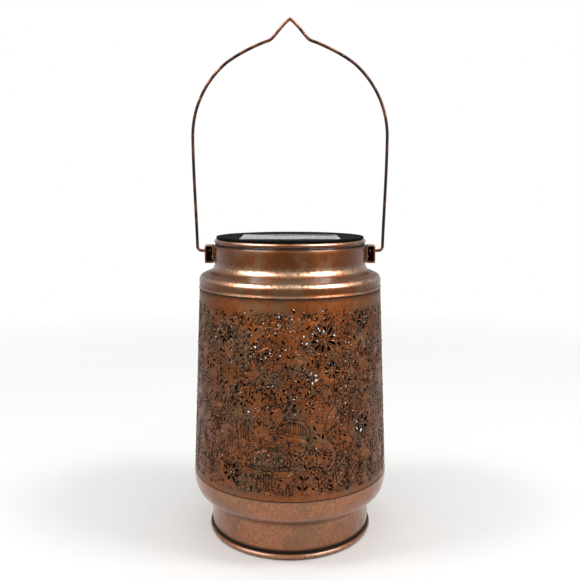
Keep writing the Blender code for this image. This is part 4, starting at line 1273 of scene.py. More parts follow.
def draw_meadow_scene(sheet: PatternField) -> None:
    """Lay out flowers, toadstools, ferns, butterflies and vines over one field."""
    rng = random.Random(SCATTER_SEED)
    sheet.daisy((19, 137), 8.4 * MM, 10, 12)
    sheet.daisy((47.5, 145.5), 5.8 * MM, 8, 8)
    sheet.daisy((24, 118.5), 5.2 * MM, 8, 20)
    sheet.daisy((44.6, 83), 6.2 * MM, 6, 28)
    sheet.daisy((-34, 56), 6.4 * MM, 8, 22)
    sheet.daisy((-53, 120), 5.4 * MM, 7, 10)
    for place, reach in (((10.8, 98), 3.2), ((12.3, 114.5), 3.6), ((13.5, 71.5), 2.8), ((15, 62), 2.9)):
        sheet.floret(place, reach * MM)
    for place, reach in (((5, 69), 2.9), ((-50, 76), 3.4), ((55, 64), 3.2), ((-56, 96), 3.0)):
        sheet.floret(place, reach * MM, 5)
    sheet.butterfly((-18, 128), 8.2 * MM, 62)
    sheet.butterfly((-39.5, 137), 7.4 * MM, 118)
    sheet.butterfly((-3, 146.5), 6.0 * MM, 80)
    sheet.butterfly((45, 128), 6.6 * MM, 40)
    sheet.toadstool((-12, 61), 13.4 * MM, 12.8 * MM, 14.5 * MM)
    sheet.toadstool((-45, 86), 6.2 * MM, 7.0 * MM, 8.0 * MM)
    sheet.hatched_cap((1.5, 81.5), 9.6 * MM, 9.5 * MM, -14)
    sheet.sprig([(6, 45.5), (6.8, 52), (8, 58), (10.5, 65)], 3, 4.6 * MM)
    for root, lean in ((33, 0.4), (42.5, -0.3), (51.5, 0.6), (-50, 0.5)):
        sheet.sprig([(root, 45), (root + lean, 57), (root + 2 * lean, 70)], 6, 5.0 * MM, 36, pierced=False)
    sheet.sprig([(21.5, 146.5), (21, 150), (20, 154)], 3, 2.8 * MM, 48)
    sheet.sprig([(35, 131), (34.2, 138), (35.5, 146)], 3, 3.2 * MM, 50)
    sheet.sprig([(-33, 104), (-28, 109), (-25, 116)], 3, 3.8 * MM, 40)
    sheet.sprig([(-6, 108), (-10, 113), (-15, 118)], 2, 3.8 * MM, 30)
    sheet.sprig([(1.5, 104), (6, 109), (9, 111)], 2, 3.2 * MM, 38)
    sheet.sprig([(-1.5, 118), (0.5, 126), (-1.5, 134)], 3, 3.6 * MM, 50)
    sheet.sprig([(50, 100), (49, 107), (52, 116)], 3, 4.0 * MM, 40)
    for knots in (
        [(21, 110), (23.5, 106), (26, 102), (24.5, 97), (21, 92), (19.5, 85), (20.5, 79), (25, 72.5)]
        + [(26.5, 65), (25.5, 57), (27, 49)],
        [(34.5, 103), (35.5, 95), (34, 87), (34.2, 80), (37, 75.5), (36.5, 71)],
        [(22.5, 86), (24.5, 89), (28.5, 90.5), (30, 86)],
        [(-30, 92), (-31, 84), (-29.5, 76), (-31.5, 69), (-36, 66)],
        [(54, 92), (53, 84), (55, 76), (54, 70)],
        [(-57, 60), (-55, 68), (-57.5, 78)],
    ):
        sheet.curve(knots, 0.6 * MM)
    for place, radius, turn, hand in (
        ((30, 66), 2.6, 200, 1),
        ((-22, 110), 2.8, 30, -1),
        ((30, 110), 2.8, 120, 1),
        ((-47, 107), 3.0, 210, 1),
        ((5, 128), 2.4, 0, -1),
        ((33, 121), 2.6, 60, 1),
        ((-42, 67), 2.4, 150, -1),
        ((57, 108), 2.4, 80, 1),
        ((-8, 98), 2.4, 20, 1),
        ((38, 96), 2.4, 250, -1),
    ):
        sheet.scroll(place, radius * MM, turn, hand)
    sheet.grass((-28, 77), [v * MM for v in (7, 9, 12, 8)], 1.7 * MM)
    sheet.grass((-37, 70), [v * MM for v in (8, 10, 7)], 1.8 * MM)
    sheet.grass((-4, 45.5), [v * MM for v in (4.5, 6, 5, 3.5)], 1.9 * MM)
    for index in range(7):
        sheet.hole(sheet.at(18.2 + 0.5 * math.sin(index), 99 - 1.9 * index), 0.48 * MM, 6)
        sheet.hole(sheet.at(29 + 0.8 * math.sin(index * 1.3), 100 - 2.4 * index), 0.46 * MM, 6)
    for place, count, turn, length in (
        ((-13, 122), 5, 118, 3.2),
        ((-9, 104), 6, 140, 3.4),
        ((-20, 100), 6, 150, 3.2),
        ((-34, 97), 5, 60, 3.2),
        ((-44, 112), 5, 100, 3.0),
        ((7, 133), 4, 70, 3.0),
        ((9, 103), 5, 40, 3.0),
        ((32, 108), 5, 65, 3.0),
        ((39, 118), 4, 50, 3.0),
        ((-52, 136), 4, 70, 3.0),
        ((20, 66), 5, 75, 3.2),
        ((29, 92), 4, 40, 2.8),
        ((52, 84), 4, 95, 3.0),
        ((-54, 58), 4, 80, 3.0),
    ):
        sheet.fern(place, count, turn, length * MM)
    sheet.meadow((-47, 96), (4, 110), 210, rng)
    sheet.meadow((-34, 112), (16, 152), 260, rng)
    sheet.meadow((-58, 122), (-30, 151), 70, rng)
    sheet.meadow((14, 58), (34, 84), 80, rng)
    sheet.meadow((-24, 46), (-2, 54), 24, rng)
    sheet.meadow((10, 45), (30, 56), 40, rng)
    sheet.meadow((20, 86), (46, 110), 130, rng)
    sheet.meadow((30, 110), (58, 152), 150, rng)
    sheet.meadow((-58, 46), (-40, 100), 130, rng)
    sheet.meadow((-24, 84), (-8, 98), 40, rng)
    sheet.seeds(760, rng)


@dataclass
class PiercedSleeve:
    """The rolled sheet between the collar and the bowl, engraved and pierced all over."""

    sheet: float = 0.0006
    flare: float = 0.0050
    fields: int = 3
    lattice: float = 0.0031
    groove_depth: float = 0.00030
    bead_rise: float = 0.00030
    joint: float = 0.0002

    def __post_init__(self) -> None:
        """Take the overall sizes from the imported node."""
        low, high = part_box("pierced_sleeve")
        self.bottom, self.top = low.z, high.z
        self.low_radius = high.x
        self.middle = self.low_radius - self.flare / 2
        self.width = math.tau * self.middle / self.fields

    def radius(self, z: float) -> float:
        """The sleeve's outer radius at a height."""
        return self.low_radius - self.flare * (z - self.bottom) / (self.top - self.bottom)

    def flat_points(self, art: PatternField) -> tuple[list[Vector], list[Point], list[list[int]]]:
        """Gather the blank's outline, openings, grooves, beads and a loose lattice.

        Args:
            art: The pattern of one field.

        Returns:
            The points, the edges to keep and the outlines to pierce.
        """
        points: list[Vector] = []
        edges: list[Point] = []
        pierced: list[list[int]] = []

        def add_line(line: Outline, closed: bool = False) -> list[int]:
            """Add a line's points and edges, and hand back the points' numbers."""
            first = len(points)
            points.extend(line)
            used = list(range(first, len(points)))
            edges.extend(zip(used, used[1:]))
            if closed:
                edges.append((used[-1], used[0]))
            return used

        half = art.width / 2
        low_edge = [Vector((-half, 0)), Vector((half, 0))]
        corners = [*low_edge, Vector((half, art.height)), Vector((-half, art.height))]
        add_line(spaced([*corners, corners[0]], self.lattice)[:-1], closed=True)
        for outline in art.openings:
            pierced.append(add_line(outline, closed=True))
        for line, width in art.grooves:
            add_line(line)
            for side in (-1, 1):
                add_line(beside(line, side * width / 2))
            for end, inner in ((line[0], line[1]), (line[-1], line[-2])):
                away = (end - inner).normalized() * width * 0.6
                points.extend(end + Matrix.Rotation(math.radians(a), 2) @ away for a in (-45, 45))
        for centre, radius in art.beads:
            points.append(centre.copy())
            points.extend(centre + heading(72 * i) * radius for i in range(5))
        rows = int(art.height / self.lattice)
        columns = int(art.width / self.lattice)
        for row in range(1, rows):
            for column in range(1, columns):
                shift = 0.25 if row % 2 else -0.25
                x = -half + art.width * (column + shift) / columns
                points.append(Vector((x, art.height * row / rows)))
        inside = [p for p in points if abs(p.x) <= half + WELD and -WELD <= p.y <= art.height + WELD]
        if len(inside) != len(points):
            points = [Vector((max(-half, min(half, p.x)), max(0, min(art.height, p.y)))) for p in points]
        return points, edges, pierced

    def build(self) -> bpy.types.Object:
        """Cut one field flat, roll it, repeat it round the lantern and close the sheet."""
        art = PatternField(self.middle, self.bottom, self.width, self.top - self.bottom)
        draw_meadow_scene(art)
        points, edges, pierced = self.flat_points(art)
        flat, _, faces, _, _, origins = delaunay_2d_cdt(points, edges, pierced, 0, 1e-6)
        depth = nearness([(p, w / 2) for line, w in art.grooves for p in spaced(line, 0.3 * MM)])
        rise = nearness([(p, r) for p, r in art.beads])
        bm = bmesh.new()
        soot, rub = bm.verts.layers.float.new("soot"), bm.verts.layers.float.new("rub")
        verts = []
        for point in flat:
            groove, bead = depth(point), rise(point)
            z = self.bottom + point.y
            out = self.radius(z) - groove * self.groove_depth + self.bead_rise * math.sqrt(bead)
            turn = point.x / self.middle
            vert = bm.verts.new((out * math.sin(turn), -out * math.cos(turn), z))
            # Dark patina in the engraved grooves, and painted shade in a band along the top edge under the
            # collar's skirt.
            vert[soot] = max(groove, 0.75 * math.exp(-(((self.top - z) / 0.0009) ** 2)))
            vert[rub] = bead * (1 - groove)
            verts.append(vert)
        for face, origin in zip(faces, origins):
            if not origin:
                bm.faces.new([verts[index] for index in face])
        bmesh.ops.delete(bm, geom=[vert for vert in bm.verts if not vert.link_faces], context="VERTS")
        self.repeat(bm)
        piece = closed_mesh(bm, "sleeve_sheet")
        add_sheet(piece, self.sheet, inside=1, edge=2, crease=math.radians(62))
        return piece

    def repeat(self, bm: bmesh.types.BMesh) -> None:
        """Copy the field round the axis and leave the sheet's joint open at the back.

        Args:
            bm: The rolled field.
        """
        first = list(bm.verts) + list(bm.edges) + list(bm.faces)
        step = math.tau / self.fields
        for index in range(1, self.fields):
            made = bmesh.ops.duplicate(bm, geom=first)["geom"]
            moved = [item for item in made if isinstance(item, bmesh.types.BMVert)]
            turn = Matrix.Rotation(step * index, 3, "Z")
            bmesh.ops.rotate(bm, verts=moved, cent=(0, 0, 0), matrix=turn)
        for vert in bm.verts:
            if vert.co.y > 0 and abs(vert.co.x) < self.joint / 2:
                near = sum((face.calc_center_median().x for face in vert.link_faces))
                vert.co.x += math.copysign(self.joint / 2, near)

    def dress(self, inner: bpy.types.Material) -> None:
        """Build the sleeve and give it its finish."""
        finish = AgedCopper(
            "engraved_copper",
            bright=(0.56, 0.205, 0.070),
            deep=(0.13, 0.034, 0.007),
            patina=0.68,
            clouds=0.011,
            roughness=0.36,
            lacquer=0.35,
            engraving=0.95,
            engraved_from=self.bottom + 0.002,
            engraved_to=self.top - 0.006,
        )
        # Pale copper for the cut edges of the holes: bare metal at the cut, and a painted highlight where the
        # edges catch the light.
        edge = AgedCopper(
            "cut_edge_highlight_copper", bright=(0.72, 0.55, 0.43), deep=(0.40, 0.26, 0.18), patina=0.3, roughness=0.42
        )
        slots = [finish.material(), inner, edge.material()]
        dress(self.build(), slots, Body.LANTERN, "antique_copper", "pierced_sleeve")


def beside(line: Outline, reach: float) -> Outline:
    """The points of a line moved sideways, with its two ends drawn in to the line.

    Args:
        line: The points.
        reach: How far to the left.

    Returns:
        The moved points.
    """
    result = [line[0]]
    for before, point, after in zip(line, line[1:], line[2:]):
        along = (after - before).normalized()
        result.append(point + Vector((-along.y, along.x)) * reach)
    if len(line) == 2:
        along = (line[1] - line[0]).normalized()
        result.append((line[0] + line[1]) / 2 + Vector((-along.y, along.x)) * reach)
    return [*result, line[-1]]


def nearness(marks: list[tuple[Vector, float]]) -> Callable[[Vector], float]:
    """A measure that is 1 on a mark and falls to 0 at the mark's own reach.

    Args:
        marks: (place, reach) of each mark.

    Returns:
        The measure.
    """
    tree = KDTree(len(marks))
    for index, (place, _) in enumerate(marks):
        tree.insert((place.x, place.y, 0), index)
    tree.balance()
    widest = max(reach for _, reach in marks)

    def value(place: Vector) -> float:
        """The greatest share of any mark in reach."""
        found = tree.find_range((place.x, place.y, 0), widest)
        shares = [1 - distance / marks[index][1] for _, index, distance in found]
        return max(0.0, max(shares, default=0.0))

    return value


# -------------------------------------------------------------- turned metalwork


@dataclass
class FootRing:
    """Rolled strip foot with a flange on top and a bead on the ground."""

    sheet: float = 0.0006
    flange: float = 0.0050
    bead: float = 0.00185
    proud: float = 0.0016

    def build(self) -> bpy.types.Object:
        """Turn the foot."""
        low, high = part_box("foot_ring")
        top = high.z
        outer = high.x - self.proud
        centre = high.x - self.bead
        inner = outer - self.sheet
        neck = self.bead * 2 + self.sheet * 0.8
        corner = 0.0005
        profile = [(outer - self.flange, top), (outer - corner, top)]
        profile += arc((outer - corner, top - corner), corner, 75, 0, 4)
        profile += [(outer, z) for z in (top - 0.004, top / 2, neck + 0.003, neck + 0.0008, neck)]
        profile += arc((centre, self.bead), self.bead, 72, -66, 14)
        profile += [(centre + self.bead * 0.3, low.z), (centre - self.bead * 0.3, low.z)]
        profile += arc((centre, self.bead), self.bead, 246, 140, 8)
        profile += [(inner, neck), (inner, top - self.sheet), (outer - self.flange, top - self.sheet)]
        piece = closed_mesh(spun(profile, closed=True), "foot_band")
        # Painted shade: dark bands in the groove above the bead and at the top under the bowl, and a painted
        # contact shadow where the bead meets the floor.
        paint(piece, "soot", bands([(neck + 0.0002, 0.0013, 1.3), (top, 0.0011, 0.8), (0.0, 0.0007, 0.7)]))
        paint(piece, "rub", bands([(self.bead * 1.2, 0.0006, 0.35)]))
        return piece

    def dress(self, finish: bpy.types.Material) -> None:
        """Build the foot and give it its finish."""
        dress(self.build(), [finish], Body.LANTERN, "antique_copper", "foot_ring")


@dataclass
class BaseBowl:
    """Drawn bowl: a lap inside the sleeve, a short band and a full round to the floor."""

    sheet: float = 0.0006
    gap: float = 0.0003
    lap: float = 0.0040
    band: float = 0.0020
    wide: float = 0.0126
    fullness: float = 2.6
    steps: int = 26

    def build(self) -> bpy.types.Object:
        """Turn the bowl."""
        low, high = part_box("base_bowl")
        outer, floor = high.x, low.z
        seam = high.z - self.lap
        lap = outer - self.sheet - 2 * self.gap
        deep = seam - self.band - floor
        profile = [(lap, seam + self.lap), (lap, seam + 0.0002), (lap + 0.0002, seam)]
        profile += [(outer - 0.0003, seam), (outer - 0.00006, seam - 0.0001), (outer, seam - 0.0004)]
        for index in range(self.steps + 1):
            fall = math.sin(math.pi / 2 * index / self.steps)
            reach = (1 - fall**self.fullness) ** (1 / self.fullness)
            profile.append((outer - self.wide * (1 - reach), floor + deep * (1 - fall)))
        profile += [(outer - self.wide - 0.012, floor), (0, floor)]
        piece = closed_mesh(spun(profile), "bowl_shell")
        # Painted shade: dark bands at the seam under the sleeve's lap and along the bowl's flat bottom.
        paint(piece, "soot", bands([(seam, 0.0004, 0.9), (floor + 0.0002, 0.0008, 0.75)]))
        paint(piece, "rub", bands([(seam - 0.0009, 0.0006, 0.3)]))
        add_sheet(piece, self.sheet, inside=1)
        return piece

    def dress(self, finish: bpy.types.Material, inner: bpy.types.Material) -> None:
        """Build the bowl and give it its finish."""
        dress(self.build(), [finish, inner], Body.LANTERN, "antique_copper", "base_bowl")


@dataclass
class ShoulderCollar:
    """Spun collar: curled rim, neck, hollow fillet, sloped shoulder, round roll and skirt."""

    sheet: float = 0.0006
    gap: float = 0.0003
    lap: float = 0.0040
    proud: float = 0.0003
    skirt: float = 0.0051
    roll: float = 0.0037
    fillet: float = 0.0050
    slope: float = 24
    curl: float = 0.0015
    inset: float = 0.0016
    groove: float = 0.0006
    step: float = 0.0097

    def build(self) -> bpy.types.Object:
        """Turn the collar."""
        low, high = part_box("shoulder_collar")
        top, outer = high.z, high.x
        seam = low.z + self.lap
        body = outer - self.proud
        neck = body - self.step
        slope = math.radians(self.slope)
        roll = (body - self.roll, seam + self.skirt)
        start = roll[0] + self.roll * math.sin(slope), roll[1] + self.roll * math.cos(slope)
        fillet_end = neck + self.fillet * (1 - math.sin(slope))
        fillet_z = start[1] + (start[0] - fillet_end) * math.tan(slope) + self.fillet * math.cos(slope)
        rim = (neck - self.inset, top - self.curl)
        lap = body - self.sheet - self.gap
        profile = arc(rim, self.curl, 150, -62, 18)
        for depth, drop in ((1, 1.22), (0.9, 1.45), (0.25, 1.8), (0, 2.2), (0, 3.2)):
            profile.append((neck - self.groove * depth, rim[1] - drop * self.curl))
        profile.append((neck, fillet_z + 0.002))
        profile += arc((neck + self.fillet, fillet_z), self.fillet, 180, 270 - self.slope, 12)
        profile += arc(roll, self.roll, 90 - self.slope, 0, 14)
        profile += [(body, seam + 0.0034), (body - 0.00012, seam + 0.0024), (body, seam + 0.0014)]
        profile += [(outer, seam + 0.0007), (outer, seam + 0.0003)]
        profile += [(outer - 0.0001, seam + 0.0001), (outer - 0.0003, seam)]
        profile += [(lap, seam - 0.0001), (lap, seam - self.lap)]
        piece = closed_mesh(spun(profile), "collar_shell")
        # Painted shade: dark bands under the rim curl, at the seam over the sleeve and just above it, and
        # across the sloped shoulder, which darkens a reflection there.
        slope_z = (start[1] + fillet_z - self.fillet * math.cos(slope)) / 2
        soot = [(rim[1] - 1.35 * self.curl, 0.0010, 1.1), (seam, 0.0003, 0.9), (slope_z, 0.0016, 0.80)]
        paint(piece, "soot", bands([*soot, (seam + 0.0024, 0.0004, 0.45)]))
        # Pale, glossier bands: wear at the rim's top, and painted highlights on the hollow fillet, the round
        # roll and the skirt's lower edge, where the lights reflect.
        rub = [(top - 0.0005, 0.0007, 0.25), (fillet_z - self.fillet * 0.3, 0.0020, 0.4)]
        rub += [(seam + 0.0006, 0.0003, 0.3), (roll[1] + self.roll * 0.6, 0.0016, 0.4)]
        paint(piece, "rub", bands(rub))
        add_sheet(piece, self.sheet, inside=1)
        return piece

    def dress(self, finish: bpy.types.Material, inner: bpy.types.Material) -> None:
        """Build the collar and give it its finish."""
        dress(self.build(), [finish, inner], Body.LANTERN, "antique_copper", "shoulder_collar")


@dataclass
class BailMount:
    """The two small boxes, open in front, and their rivets that carry the bail."""

    sheet: float = 0.0009
    fold: float = 0.0006
    bore: float = 0.0012

    def lug(self, side: int, node: str) -> bpy.types.Object:
        """Fold one lug and drill it.

        Args:
            side: -1 for the left one, 1 for the right one.
            node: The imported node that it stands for.

        Returns:
            The lug.
        """
        low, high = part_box(node)
        centre = (low + high) / 2
        size = high - low
        outer = high.x if side > 0 else low.x

        def rim(inset: float, y: float) -> Outline:
            """The box's upright outline at a depth."""
            flat = frame_of((size.x - 2 * inset, size.z - 2 * inset), self.fold, 0, 48)
            return [Vector((centre.x + point.x, y, centre.z + point.y)) for point in flat]

        wall = self.sheet
        rings = [rim(0, high.y), rim(0, low.y), rim(wall, low.y), rim(wall, high.y - wall)]
        piece = loft(f"{node}_box", rings)
        pivot = frame_joint("bail_swing").z
        inward, outward = Vector((outer - side * 0.003, 0, pivot)), Vector((outer + side * 0.003, 0, pivot))
        cut(piece, [rod("drill", inward, outward, self.bore)])
        ease_edges(piece, 0.00014)
        # Painted shade: the inside of the open-fronted box is near black and the rest a little darker; the
        # top edge is worn bright.
        deep = low.y + size.y * 0.3
        paint(piece, "soot", lambda place: 0.95 if deep < place.y < high.y - 0.0005 else 0.25)
        paint(piece, "rub", bands([(high.z, 0.0009, 0.8)]))
        return piece

    def rivet(self, side: int, node: str) -> bpy.types.Object:
        """Turn one rivet along X with domed heads.

        Args:
            side: -1 for the left one, 1 for the right one.
            node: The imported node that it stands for.

        Returns:
            The rivet.
        """
        low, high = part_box(node)
        length = high.x - low.x
        head = (high.z - low.z) / 2
        cap = head * 0.42
        crown = (0.5, 0.9, 1.25, 1.5)
        profile = [(0, -length / 2)]
        profile += [(head * math.sin(a), -length / 2 + cap * (1 - math.cos(a))) for a in crown]
        profile += [(head * 0.59, -length / 2 + cap), (head * 0.59, length / 2 - cap)]
        profile += [(head * math.sin(a), length / 2 - cap * (1 - math.cos(a))) for a in crown[::-1]]
        profile.append((0, length / 2))
        bm = spun(profile, 40)
        bmesh.ops.rotate(bm, verts=bm.verts, cent=(0, 0, 0), matrix=Matrix.Rotation(math.pi / 2, 3, "Y"))
        bmesh.ops.translate(bm, verts=bm.verts, vec=(low + high) / 2)
        piece = closed_mesh(bm, f"{node}_turned")
        paint(piece, "rub", lambda place: 0.6 if side * (place.x - (low.x + high.x) / 2) > 0 else 0.2)
        return piece

    def dress(self, finish: bpy.types.Material) -> None:
        """Build both lugs and rivets and give them their finish."""
        for side, word in ((-1, "left"), (1, "right")):
            dress(self.lug(side, f"lug_{word}"), [finish], Body.LANTERN, "antique_copper", f"lug_{word}")
            rivet = f"lug_rivet_{word}"
            dress(self.rivet(side, rivet), [finish], Body.LANTERN, "antique_copper", rivet)


@dataclass
class Bail:
    """One bent wire: a hook through each lug, a nearly straight leg and a pointed arch."""

    radius: float = 0.00095
    head: float = 0.0017
    head_length: float = 0.0009
    inner_end: float = 0.0508
    foot: float = 0.0593
    bend: float = 0.0028
    spread: float = 0.0017
    leg: float = 0.0708
    arch: float = 0.0713

    def side(self) -> list[Vector]:
        """The centre line on the +X side, from the head inside the lug up to the peak."""
        widest = self.foot + self.spread

        def arch(share_x: float, share_z: float) -> Vector:
            """A place given in shares of the arch's half width and height."""
            return Vector((widest * share_x, 0, self.leg + self.arch * share_z))

        points = [Vector((self.inner_end, 0, 0)), Vector((self.inner_end + self.head_length, 0, 0))]
        points.append(Vector((self.inner_end + self.head_length * 1.3, 0, 0)))
        turn = arc((self.foot - self.bend, self.bend), self.bend, -90, 0, 10)
        points += [Vector((x, 0, z)) for x, z in turn]
        leave = Vector((self.foot + 0.0004, 0, self.leg * 0.35))
        points += interpolate_bezier(points[-1], leave, arch(1, -0.35), arch(1, 0), 14)[1:]
        for run in (
            ((1, 0), (1, 0.249), (0.8715, 0.468), (0.672, 0.618)),
            ((0.672, 0.618), (0.563, 0.700), (0.319, 0.795), (0.218, 0.821)),
            ((0.218, 0.821), (0.162, 0.835), (0.093, 0.950), (0, 1)),
        ):
            points += interpolate_bezier(*(arch(*share) for share in run), 18)[1:]
        return points

    def build(self) -> bpy.types.Object:
        """Bend the wire and make it a mesh."""
        pivot = frame_joint("bail_swing")
        right = self.side()
        points = [point + pivot for point in right]
        points += [Vector((-point.x, point.y, point.z)) + pivot for point in right[-2::-1]]
        curve = bpy.data.curves.new("bail_curve", "CURVE")
        curve.dimensions = "3D"
        curve.bevel_depth = self.radius
        curve.bevel_resolution = 6
        curve.use_fill_caps = True
        spline = curve.splines.new("POLY")
        spline.points.add(len(points) - 1)
        for target, point in zip(spline.points, points):
            target.co = (*point, 1)
        for index in (0, 1, -2, -1):
            spline.points[index].radius = self.head / self.radius
        guide = bpy.data.objects.new("bail_curve", curve)
        bpy.context.scene.collection.objects.link(guide)
        bpy.context.view_layer.update()
        mesh = bpy.data.meshes.new_from_object(guide.evaluated_get(bpy.context.evaluated_depsgraph_get()))
        bpy.data.objects.remove(guide, do_unlink=True)
        bm = bmesh.new()
        bm.from_mesh(mesh)
        bpy.data.meshes.remove(mesh)
        piece = closed_mesh(bm, "bail_bent_wire")
        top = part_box("bail_wire")[1].z
        paint(piece, "rub", bands([(top, 0.02, 1.0), (pivot.z, 0.006, 0.6)]))
        return piece

    def dress(self) -> None:
        """Build the bail and give it its finish."""
        dress(self.build(), [DarkWire().material()], Body.BAIL, "dark_wire", "bail_wire")


def frame_joint(name: str) -> Vector:
    """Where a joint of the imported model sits."""
    joint = next(j for j in frame["joints"] if j["name"] == name)
    return Vector(joint["pos_m"])


# --------------------------------------------------------------------- the lamp


@dataclass
class LampUnit:
    """Lid, solar panel and the lamp parts under it."""

    lip: float = 0.0012
    lip_rise: float = 0.0003
    wall: float = 0.0020
    plate: float = 0.0016
    pocket: float = 0.0020
    flange: float = 0.0010
    gap: float = 0.0003
    corner: float = 0.0016
    count: int = 160

    def lid(self) -> bpy.types.Object:
        """Mould the lid: panel pocket, flat top, raised lip, round edge, plug skirt and underside."""
        low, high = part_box("lid_cover")
        outer, edge_top = high.x, high.z
        top = edge_top - self.lip_rise
        under = top - self.flange
        plug = outer - 0.0021
        glaze_low, glaze_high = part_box("panel_glaze")
        opening = (glaze_high.x - glaze_low.x + 2 * self.gap, glaze_high.y - glaze_low.y + 2 * self.gap)
        floor = top - self.pocket
        lip = outer - self.lip
        rings = [frame_of(opening, self.corner, floor, self.count)]
        rings.append(frame_of(opening, self.corner, top - 0.0002, self.count))
        rings.append(frame_of((opening[0] + 0.0004, opening[1] + 0.0004), self.corner, top, self.count))
        profile = [(lip - 0.004, top), (lip - 0.0003, top), (lip, top + 0.0001)]
        profile += [(lip + 0.0002, edge_top - 0.00005), (lip + 0.0004, edge_top)]
        profile += arc((outer - 0.00045, edge_top - 0.00045), 0.00045, 90, 0, 6)
        profile += [(outer, under + 0.0002), (outer - 0.0002, under), (plug, under), (plug, low.z + 0.0003)]
        profile += [(plug - 0.0003, low.z), (plug - self.wall, low.z), (plug - self.wall, floor - self.plate)]
        rings += [ring_of(radius, height, self.count) for radius, height in profile]
        return loft("lid_moulding", rings)

    def glaze(self) -> bpy.types.Object:
        """Cast the clear layer over the cells, with round corners and a softly domed edge."""
        low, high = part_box("panel_glaze")
        size = high - low
        rise = size.z
        rings = []
        for inset, share in ((0.0, 0.0), (0.0, 0.5), (0.00012, 0.85), (0.0004, 1.0)):
            height = low.z + rise * share
            outline = (size.x - 2 * inset, size.y - 2 * inset)
            rings.append(frame_of(outline, self.corner - self.gap, height, self.count))
        return loft("panel_cover", rings)

    def dress(self) -> None:
        """Build the lid and glaze, and give every lamp part its finish."""
        black = (0.003, 0.0035, 0.003)
        gloss = MouldedPlastic("gloss_black", black, 0.58, texture=0.9, dust=0.02, shine=0.02).material()
        matte = MouldedPlastic("matt_black", (0.022, 0.022, 0.023), 0.48, texture=0.8).material()
        dress(self.lid(), [gloss], Body.LAMP, "black_gloss", "lid_cover")
        dress(self.glaze(), [ClearGlaze().material()], Body.LAMP, "panel_glaze", "panel_glaze")
        first_low, first_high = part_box("solar_cell_1")
        next_low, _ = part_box("solar_cell_2")
        middle = (first_low.x + first_high.x) / 2
        silicon = SolarSilicon(next_low.x - first_low.x, middle).material()
        for index in range(1, 5):
            coat_node(f"solar_cell_{index}", silicon)
        backing = BoardMask("panel_backing", (0.55, 0.56, 0.54), (0.72, 0.72, 0.70))
        board = BoardMask("lamp_board", (0.010, 0.085, 0.030), (0.05, 0.22, 0.09))
        coat_node("panel_board", backing.material())
        coat_node("circuit_board", board.material())
        for node in ("lamp_housing", "battery_door", "switch_body", "driver_chip", "switch_knob"):
            coat_node(node, matte)
        steel = BrightSteel().material()
        screws = [f"housing_screw_{index}" for index in (1, 2, 3)] + ["door_screw_left", "door_screw_right"]
        for node in (*screws, "battery_spring", "spring_plate", "contact_plate"):
            coat_node(node, steel)
        cell_low, cell_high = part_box("battery_cell")
        band = cell_low.x + (cell_high.x - cell_low.x) * 0.72
        wrap = WrappedCell("cell_wrap", (0.03, 0.17, 0.07), (0.62, 0.64, 0.60), band, band + 0.004)
        coat_node("battery_cell", wrap.material())
        coat_node("choke_coil", WoundEnamel().material())
        lamp_low, lamp_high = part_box("led_lamp")
        coat_node("led_lamp", LampEpoxy(lamp_high.z, lamp_low.z).material())
        for word, colour in (("red", (0.42, 0.02, 0.015)), ("black", (0.015, 0.015, 0.016))):
            cover = LeadCover(f"{word}_lead_cover", colour).material()
            coat_node(f"panel_lead_{word}", cover)
            coat_node(f"battery_lead_{word}", cover)


# ----------------------------------------------------------------------- studio


@dataclass(frozen=True)
class Softbox:
    """A rectangular light that faces a point.

    One that only shines is seen in polished surfaces but doesn't light the floor.
    """

    name: str
    place: tuple[float, float, float]
    aim: tuple[float, float, float]
    size: Point
    power: float
    only_shine: bool = False

    def add(self) -> None:
        """Hang the light."""
        lamp = bpy.data.lights.new(self.name, "AREA")
        lamp.shape = "RECTANGLE"
        lamp.size, lamp.size_y = self.size
        lamp.energy = self.power
        holder = bpy.data.objects.new(self.name, lamp)
        holder.visible_diffuse = not self.only_shine
        holder.location = self.place
        direction = Vector(self.aim) - Vector(self.place)
        holder.rotation_euler = direction.to_track_quat("-Z", "Y").to_euler()
        bpy.context.scene.collection.objects.link(holder)


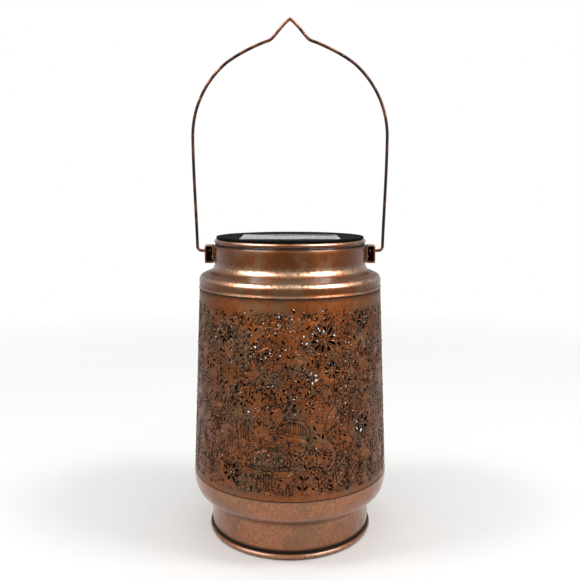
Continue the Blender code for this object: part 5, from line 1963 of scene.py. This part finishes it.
@dataclass
class Studio:
    """Pale floor, white surroundings, soft lights and the camera."""

    floor_radius: float = 0.9
    camera_place: tuple[float, float, float] = (0, -0.43575, 0.2199)
    camera_tilt: float = 81.84
    lens: float = 42.2
    floor_light: float = 1.25

    def add_floor(self) -> None:
        """Lay a round floor that fades out towards its rim."""
        bm = bmesh.new()
        bmesh.ops.create_circle(bm, cap_ends=True, segments=64, radius=self.floor_radius)
        floor = closed_mesh(bm, "studio_floor")
        recipe = Recipe("floor_paper")
        across, along, _ = recipe.axes()
        reach = recipe.math("SQRT", across * across + along * along)
        fibre = recipe.noise(0.004, 3, 0.6)
        floor.data.materials.append(
            recipe.finish(
                Base_Color=recipe.blend(fibre, (0.66, 0.66, 0.655), (0.70, 0.70, 0.695)),
                Roughness=0.85,
                Alpha=reach.step(self.floor_radius * 0.95, self.floor_radius * 0.25),
            )
        )

    def add_surroundings(self) -> None:
        """White backdrop all round, dimmer where the room lies behind the camera."""
        world = bpy.data.worlds.new("surroundings")
        world.use_nodes = True
        bpy.context.scene.world = world
        tree = world.node_tree
        tree.nodes.clear()
        recipe = Recipe("", tree)
        direction = recipe.node("ShaderNodeTexCoord", out="Generated")
        split = recipe.node("ShaderNodeSeparateXYZ", None, {0: direction})
        _, along, height = (Signal(recipe, output) for output in split.socket.node.outputs)
        fade = {"Value": along, "From Min": -0.7, "From Max": 0.6, "To Min": 0.14, "To Max": 0.70}
        ceiling = {"Value": height, "From Min": 0.25, "From Max": 0.80, "To Min": 1.0, "To Max": 0.25}
        shade = recipe.node("ShaderNodeMapRange", {"interpolation_type": "SMOOTHSTEP"}, fade)
        shade = shade * recipe.node("ShaderNodeMapRange", None, ceiling)
        diffuse = recipe.node("ShaderNodeLightPath", out="Is Diffuse Ray")
        camera = recipe.node("ShaderNodeLightPath", out="Is Camera Ray")
        strength = {"Factor": diffuse, "A": shade, "B": self.floor_light}
        strength = recipe.node("ShaderNodeMix", None, strength, out="Result")
        room = recipe.node("ShaderNodeBackground", None, {"Strength": strength})
        seen = recipe.node("ShaderNodeBackground", None, {"Color": (1, 1, 1), "Strength": 1.0})
        mix = recipe.node("ShaderNodeMixShader", None, {0: camera, 1: room, 2: seen})
        tree.links.new(mix.socket, tree.nodes.new("ShaderNodeOutputWorld").inputs["Surface"])

    def add_camera(self) -> None:
        """Set up the camera."""
        eye = bpy.data.cameras.new("camera")
        eye.lens = self.lens
        eye.sensor_width = 36
        holder = bpy.data.objects.new("camera", eye)
        holder.location = self.camera_place
        holder.rotation_euler = (math.radians(self.camera_tilt), 0, 0)
        bpy.context.scene.collection.objects.link(holder)
        bpy.context.scene.camera = holder

    def build(self) -> None:
        """Put the studio together."""
        self.add_camera()
        self.add_floor()
        self.add_surroundings()
        for light in (
            Softbox("overhead_left", (-0.60, -0.16, 1.02), (0, 0, 0.12), (0.24, 0.24), 4),
            Softbox("overhead_right", (0.62, -0.18, 1.02), (0, 0, 0.12), (0.27, 0.27), 5),
            Softbox("shine_left", (-0.58, -0.44, 0.70), (0, -0.05, 0.17), (0.64, 0.62), 22, True),
            Softbox("shine_right", (0.58, -0.44, 0.70), (0, -0.05, 0.17), (0.60, 0.62), 26, True),
        ):
            light.add()
        bpy.context.scene.view_settings.view_transform = "Standard"


def main() -> None:
    """Build the studio, then the lantern's pieces in order."""
    logging.basicConfig(level=logging.INFO, format="%(message)s")
    Studio().build()
    spun_copper = AgedCopper(
        "spun_copper",
        bright=(0.36, 0.130, 0.050),
        deep=(0.15, 0.042, 0.010),
        patina=0.70,
        clouds=0.012,
        roughness=0.27,
        rings=0.7,
    ).material()
    smooth_copper = AgedCopper(
        "smooth_copper", bright=(0.36, 0.142, 0.062), deep=(0.21, 0.072, 0.025), patina=0.42
    ).material()
    small_copper = AgedCopper("small_copper", patina=0.60, clouds=0.005).material()
    # Near-black copper for the inner faces: painted shade for the inside of the lantern.
    inner = AgedCopper(
        "shaded_inner_copper", bright=(0.030, 0.015, 0.009), deep=(0.015, 0.007, 0.004), patina=0.7, roughness=0.6
    ).material()
    FootRing().dress(smooth_copper)
    BaseBowl().dress(smooth_copper, inner)
    PiercedSleeve().dress(inner)
    ShoulderCollar().dress(spun_copper, inner)
    BailMount().dress(small_copper)
    Bail().dress()
    LampUnit().dress()


if __name__ == "__main__":
    main()
